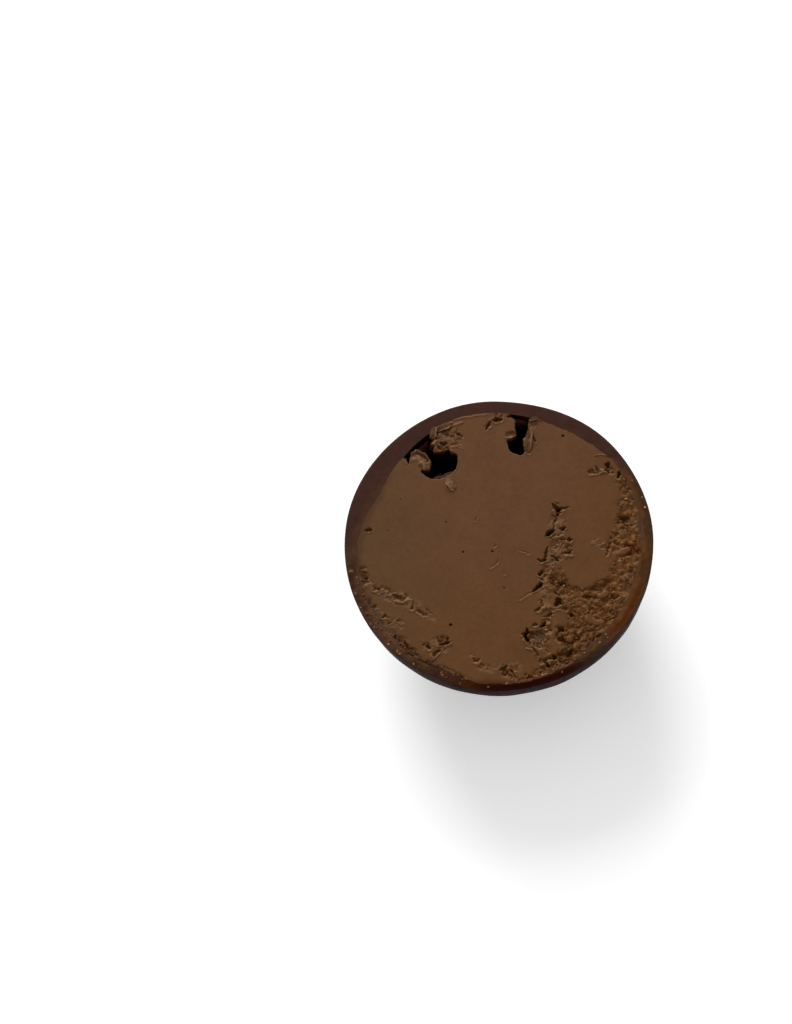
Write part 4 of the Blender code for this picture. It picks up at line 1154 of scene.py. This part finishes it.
def shape_shell(bm, inner_depth):
    """Gives the spun shell its uneven rim, wall and surface, and rounds its cut edge."""
    verts = [vert for vert in bm.verts if math.hypot(vert.co.x, vert.co.y) > 0.01]
    x, y, z = np.array([vert.co[:] for vert in verts]).T
    angle, radius = polar(x, y)
    rim = around(angle, RIM_RADIUS)
    on_cut = z > -1e-4
    outside = (radius / MEAN_RADIUS) ** 2 + (z / DOME_DEPTH) ** 2 > 0.97
    slope = np.arcsin(np.clip(-z / np.where(outside, DOME_DEPTH, inner_depth), 0.0, 1.0))
    dents = 0.05 * noise(np.cos(angle) * 4.0, np.sin(angle) * 4.0 + z * 0.35, 3)
    dents *= smooth(0.0, 2.5, -z) * smooth(0.0, 3.0, z + FACE_HEIGHT)
    outer = (rim + dents) * radius / MEAN_RADIUS
    inner = inner_radius(angle, slope, 0.0)
    width = rim - inner_rim(angle, 0.0)
    across = (MEAN_RADIUS - radius) / WALL
    wanted = np.where(outside, outer, inner)
    wanted = np.where(on_cut, rim - width * across, wanted)
    from_edge = rim - wanted
    drop = edge_drop(angle, from_edge)
    spot_x, spot_y = wanted * np.cos(angle), wanted * np.sin(angle)
    smeared = arc_share(angle, 168, 400, 10.0)
    uneven = 0.03 * noise(spot_x * 0.8, spot_y * 0.8, 3)
    uneven += 0.035 * smeared * noise(spot_x * 2.6, spot_y * 2.6, 3)
    fall = np.where(on_cut, drop - uneven * smooth(0.0, 0.3, from_edge), 0.0)
    fall = np.where(outside & ~on_cut, drop * smooth(1.0, 0.0, -z), fall)
    for vert, out, at, down in zip(verts, wanted, angle, fall):
        vert.co.x = out * math.cos(at)
        vert.co.y = out * math.sin(at)
        vert.co.z -= down


def lump(bm, middle, sizes, turn, lean, rough, shift):
    """Adds an uneven rounded piece to the bmesh."""
    made = bmesh.ops.create_icosphere(bm, subdivisions=1, radius=1.0)["verts"]
    flat = np.array([vert.co[:] for vert in made])
    swell = 1.0 + rough * noise(flat[:, 0] * 1.7 + shift, flat[:, 1] * 1.7 + flat[:, 2] * 2.3, 2)
    place = (
        Matrix.Translation(middle)
        @ Matrix.Rotation(math.radians(turn), 4, "Z")
        @ Matrix.Rotation(math.radians(lean), 4, "Y")
        @ Matrix.Diagonal((*sizes, 1.0))
    )
    for vert, grow in zip(made, swell):
        vert.co *= float(grow)
    bmesh.ops.transform(bm, verts=made, matrix=place)


def heap(rows, heights, proportions, lean, rough, shift):
    """A bmesh of lumps, one for each row of x, y, size and turn."""
    bm = bmesh.new()
    for number, ((x, y, size, turn), z) in enumerate(zip(rows, heights)):
        sizes = [size * share for share in proportions]
        lump(bm, (x, y, z), sizes, turn, lean * math.sin(number), rough, shift * number)
    return bm


def curled_flake(bm, place, long, wide, curl, shift):
    """A thin uneven shaving of praline, bent along its length and given its thickness."""
    grid = bmesh.ops.create_grid(bm, x_segments=24, y_segments=12, size=1.0)["verts"]
    u, v = np.array([vert.co[:2] for vert in grid]).T
    ends = 1.0 - 0.45 * np.abs(u) ** 3
    ragged_edge = 1.0 + 0.25 * noise(u * 2.2 + shift, v * 1.3 + shift, 2)
    across = v * ends * ragged_edge * wide
    along = u * long * (1.0 + 0.12 * noise(v * 2.0 + shift, u * 1.5, 2))
    rise = curl * (v * ends) ** 2 + 0.05 * noise(u * 2.5 + shift, v * 2.5, 2) - 0.1 * u**2
    for vert, dx, dy, dz in zip(grid, along, across, rise):
        vert.co = (dx, dy, dz)
    faces = list({face for vert in grid for face in vert.link_faces})
    made = bmesh.ops.solidify(bm, geom=faces, thickness=FLAKE_THICKNESS)["geom"]
    whole = {item for item in made if isinstance(item, bmesh.types.BMVert)} | set(grid)
    bmesh.ops.transform(bm, verts=list(whole), matrix=place)


def make_flakes(finish):
    """Shavings that the knife lifted beside the air holes, and one lying on the face."""
    bm = bmesh.new()
    for number, (x, y, z, long, wide, curl, turn, lean, roll) in enumerate(FLAKES):
        place = (
            Matrix.Translation((x, y, z))
            @ Matrix.Rotation(math.radians(turn), 4, "Z")
            @ Matrix.Rotation(math.radians(lean), 4, "Y")
            @ Matrix.Rotation(math.radians(roll), 4, "X")
        )
        curled_flake(bm, place, long, wide, curl, 3.7 * number)
    bmesh.ops.recalc_face_normals(bm, faces=bm.faces)
    obj = to_object(bm, "lifted_flakes", [finish], 75.0)
    x, y, z = points_of(obj.data).T
    # Painted highlight on the flakes' raised parts and painted shade on their low parts
    tone = layered(
        np.asarray(CUT_MIDDLE) * (1.05 + 0.15 * noise(x * 2.0, y * 2.0, 2))[:, None],
        (PAINTED_HIGHLIGHT, 0.8 * smooth(0.06, 0.2, z)),
        (CRUMB_DARK, smooth(-0.02, -0.3, z)),
    )
    set_paint(obj.data, tone, np.full(len(x), 0.2))
    return obj


def scattered(count, wanted, sizes):
    """Places on the face where the wanted share is high, with a size and a turn each."""
    draws = np.random.default_rng(29 + count)
    found = []
    while len(found) < count:
        x, y = draws.uniform(-MEAN_RADIUS, MEAN_RADIUS, (2, 4 * count))
        keep = draws.uniform(0.0, 1.0, 4 * count) < wanted(x, y)
        size = draws.uniform(0.0, 1.0, 4 * count) ** 2 * (sizes[1] - sizes[0]) + sizes[0]
        turn = draws.uniform(0.0, 360.0, 4 * count)
        found += zip(x[keep], y[keep], size[keep], turn[keep])
    return found[:count]


def top_height(x, y):
    """Height of whatever lies at a place on the cut: the filling or the shell's wall."""
    angle, radius = polar(x, y)
    on_wall = -edge_drop(angle, around(angle, RIM_RADIUS) - radius)
    return np.where(radius < inner_rim(angle), relief(x, y), on_wall)


def crumb_share(x, y):
    """Where loose crumbs lie: in the crumbled stretches and on the smeared edge."""
    angle, radius = polar(x, y)
    on_edge = 0.5 * arc_share(angle, 180, 250) * (radius < MEAN_RADIUS - 0.35)
    loose = np.where(relief(x, y) < -1.0, 0.0, crumbled(x, y))
    return np.where(radius < inner_rim(angle) - 0.1, loose, on_edge)


def ring_share(x, y):
    """Where sugar grains show: round the smeared edge and among the crumbs."""
    angle, radius = polar(x, y)
    edge = around(angle, RIM_RADIUS) - radius
    smeared = arc_share(angle, 172, 252) + 0.5 * arc_share(angle, 265, 300)
    on_edge = smeared * smooth(0.2, 0.5, edge) * smooth(2.2, 0.9, edge)
    clumped = smooth(0.0, 0.5, noise(x * 0.8 + 3.0, y * 0.8, 2))
    return np.clip(0.5 * on_edge * clumped + 0.4 * crumb_share(x, y), 0.0, 1.0)


def make_crumbs(finish):
    """Loose crumbs lying in the crumbled stretches."""
    rows = scattered(CRUMB_COUNT, crumb_share, CRUMB_SIZES)
    x, y, size, _ = np.array(rows).T
    heights = np.minimum(top_height(x, y), 0.0) + 0.2 * size
    bm = heap(rows, heights, (1.3, 0.8, 0.7), 25.0, 0.45, 1.3)
    obj = to_object(bm, "loose_crumbs", [finish], 80.0)
    x, y, z = points_of(obj.data).T
    bright = 0.5 + 0.5 * noise(x * 2.6 + 4.0, y * 2.6, 2)
    # Crumbs lighter at random, with painted shade on those lying low
    tone = layered(
        CRUMB_TONE, (CRUMB_LIGHT, 0.8 * bright), (CRUMB_DARK, smooth(-0.3, -0.7, z))
    )
    set_paint(obj.data, tone, np.full(len(x), 0.4))
    return obj


def onto_rim(x, y, size):
    """Moves a grain in from the shell's edge until the whole of it lies on the cut."""
    angle, radius = math.atan2(y, x), math.hypot(x, y)
    inward = min(1.0, (around(angle, RIM_RADIUS) - 0.12 - 1.2 * size) / radius)
    return x * inward, y * inward


def make_sugar(finish):
    """Small bright sugar grains that the cut laid bare."""
    rows = [
        (*onto_rim(x, y, size), size, 40.0 * number)
        for number, (x, y, size) in enumerate(BRIGHT_GRAINS)
    ]
    rows += scattered(SUGAR_COUNT, ring_share, SUGAR_SIZES)
    x, y, _, _ = np.array(rows).T
    heights = np.clip(top_height(x, y), -0.5, 0.0)
    bm = heap(rows, heights, (1.15, 0.75, 0.6), 30.0, 0.3, 2.1)
    return to_object(bm, "sugar_grains", [finish], 50.0)


def make_floor():
    """A plain pale floor under the half."""
    bm = bmesh.new()
    bmesh.ops.create_grid(bm, x_segments=2, y_segments=2, size=FLOOR_REACH)
    bmesh.ops.translate(bm, verts=bm.verts, vec=(0.0, 0.0, -FACE_HEIGHT))
    made, _, shader = new_material("pale_floor", 0.05)
    shader.inputs["Base Color"].default_value = (*FLOOR_WHITE, 1.0)
    shader.inputs["Emission Color"].default_value = WHITE
    shader.inputs["Emission Strength"].default_value = FLOOR_GLOW
    shader.inputs["Roughness"].default_value = 0.9
    floor = to_object(bm, "floor", [made])
    floor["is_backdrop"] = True


def window_light():
    """A soft square light on the far side, aimed at the middle of the face."""
    lamp = bpy.data.lights.new("window", "AREA")
    lamp.size = WINDOW_SIZE * MM
    lamp.energy = WINDOW_WATTS
    window = bpy.data.objects.new("window", lamp)
    bpy.context.scene.collection.objects.link(window)
    middle = Vector((0.0, 0.0, FACE_HEIGHT)) * MM
    window.location = middle + Vector(WINDOW_PLACE) * MM
    window.rotation_mode = "QUATERNION"
    window.rotation_quaternion = (middle - window.location).to_track_quat("-Z", "Y")


def light_scene():
    """Soft daylight, stronger from the far side, where the air holes are."""
    world = bpy.data.worlds.new("studio")
    bpy.context.scene.world = world
    world.use_nodes = True
    sky = world.node_tree.nodes["Background"]
    sky.inputs["Color"].default_value = WHITE
    sky.inputs["Strength"].default_value = SKY_STRENGTH
    window_light()
    view = bpy.context.scene.view_settings
    view.view_transform = "Standard"
    view.look = "None"


def make_camera():
    """The photograph's viewpoint: above the near side, rolled, the half right of centre."""
    tilt, roll = math.radians(VIEW_TILT), math.radians(VIEW_ROLL)
    focal_pixels = PIXELS_PER_MM * VIEW_DISTANCE
    lens = bpy.data.cameras.new("camera")
    lens.sensor_width = SENSOR
    lens.lens = SENSOR * focal_pixels / max(FRAME_WIDE, FRAME_HIGH)
    lens.clip_start = 0.01
    lens.clip_end = 10.0
    camera = bpy.data.objects.new("camera", lens)
    bpy.context.scene.collection.objects.link(camera)
    bpy.context.scene.camera = camera
    away = Vector((0.0, -math.sin(tilt), math.cos(tilt)))
    camera.location = (Vector((0.0, 0.0, FACE_HEIGHT)) + away * VIEW_DISTANCE) * MM
    sideways = math.atan((FACE_PIXEL[0] - FRAME_WIDE / 2) / focal_pixels)
    downwards = math.atan((FACE_PIXEL[1] - FRAME_HIGH / 2) / focal_pixels * math.cos(sideways))
    look = (-away).to_track_quat("-Z", "Y")
    look = look @ Quaternion((0.0, 0.0, 1.0), -roll)
    look = look @ Quaternion((0.0, 1.0, 0.0), sideways)
    look = look @ Quaternion((1.0, 0.0, 0.0), downwards)
    camera.rotation_mode = "QUATERNION"
    camera.rotation_quaternion = look


def main():
    make_camera()
    light_scene()
    make_floor()
    cut_praline = painted_material("cut_praline", 0.10, 0.65, 0.35, 2600.0, 0.00004)
    cut_wall = painted_material("cut_chocolate", 0.04, 0.6, 0.35, 1800.0, 0.00003)
    crumb = painted_material("crumbled_praline", 0.15, 0.6, 0.35, 6000.0, 0.00005)
    praline = make_praline(cut_praline)
    shell = make_shell(shell_material(), cut_wall)
    flakes = make_flakes(cut_praline)
    crumbs_piece = make_crumbs(crumb)
    sugar = make_sugar(sugar_material())
    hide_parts("filling")
    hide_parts("shell")
    for piece in (praline, shell, flakes, crumbs_piece, sugar):
        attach(piece, "root")


main()

dressed_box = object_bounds()
[[list(corner) for corner in box] for box in (cad_box, dressed_box)]
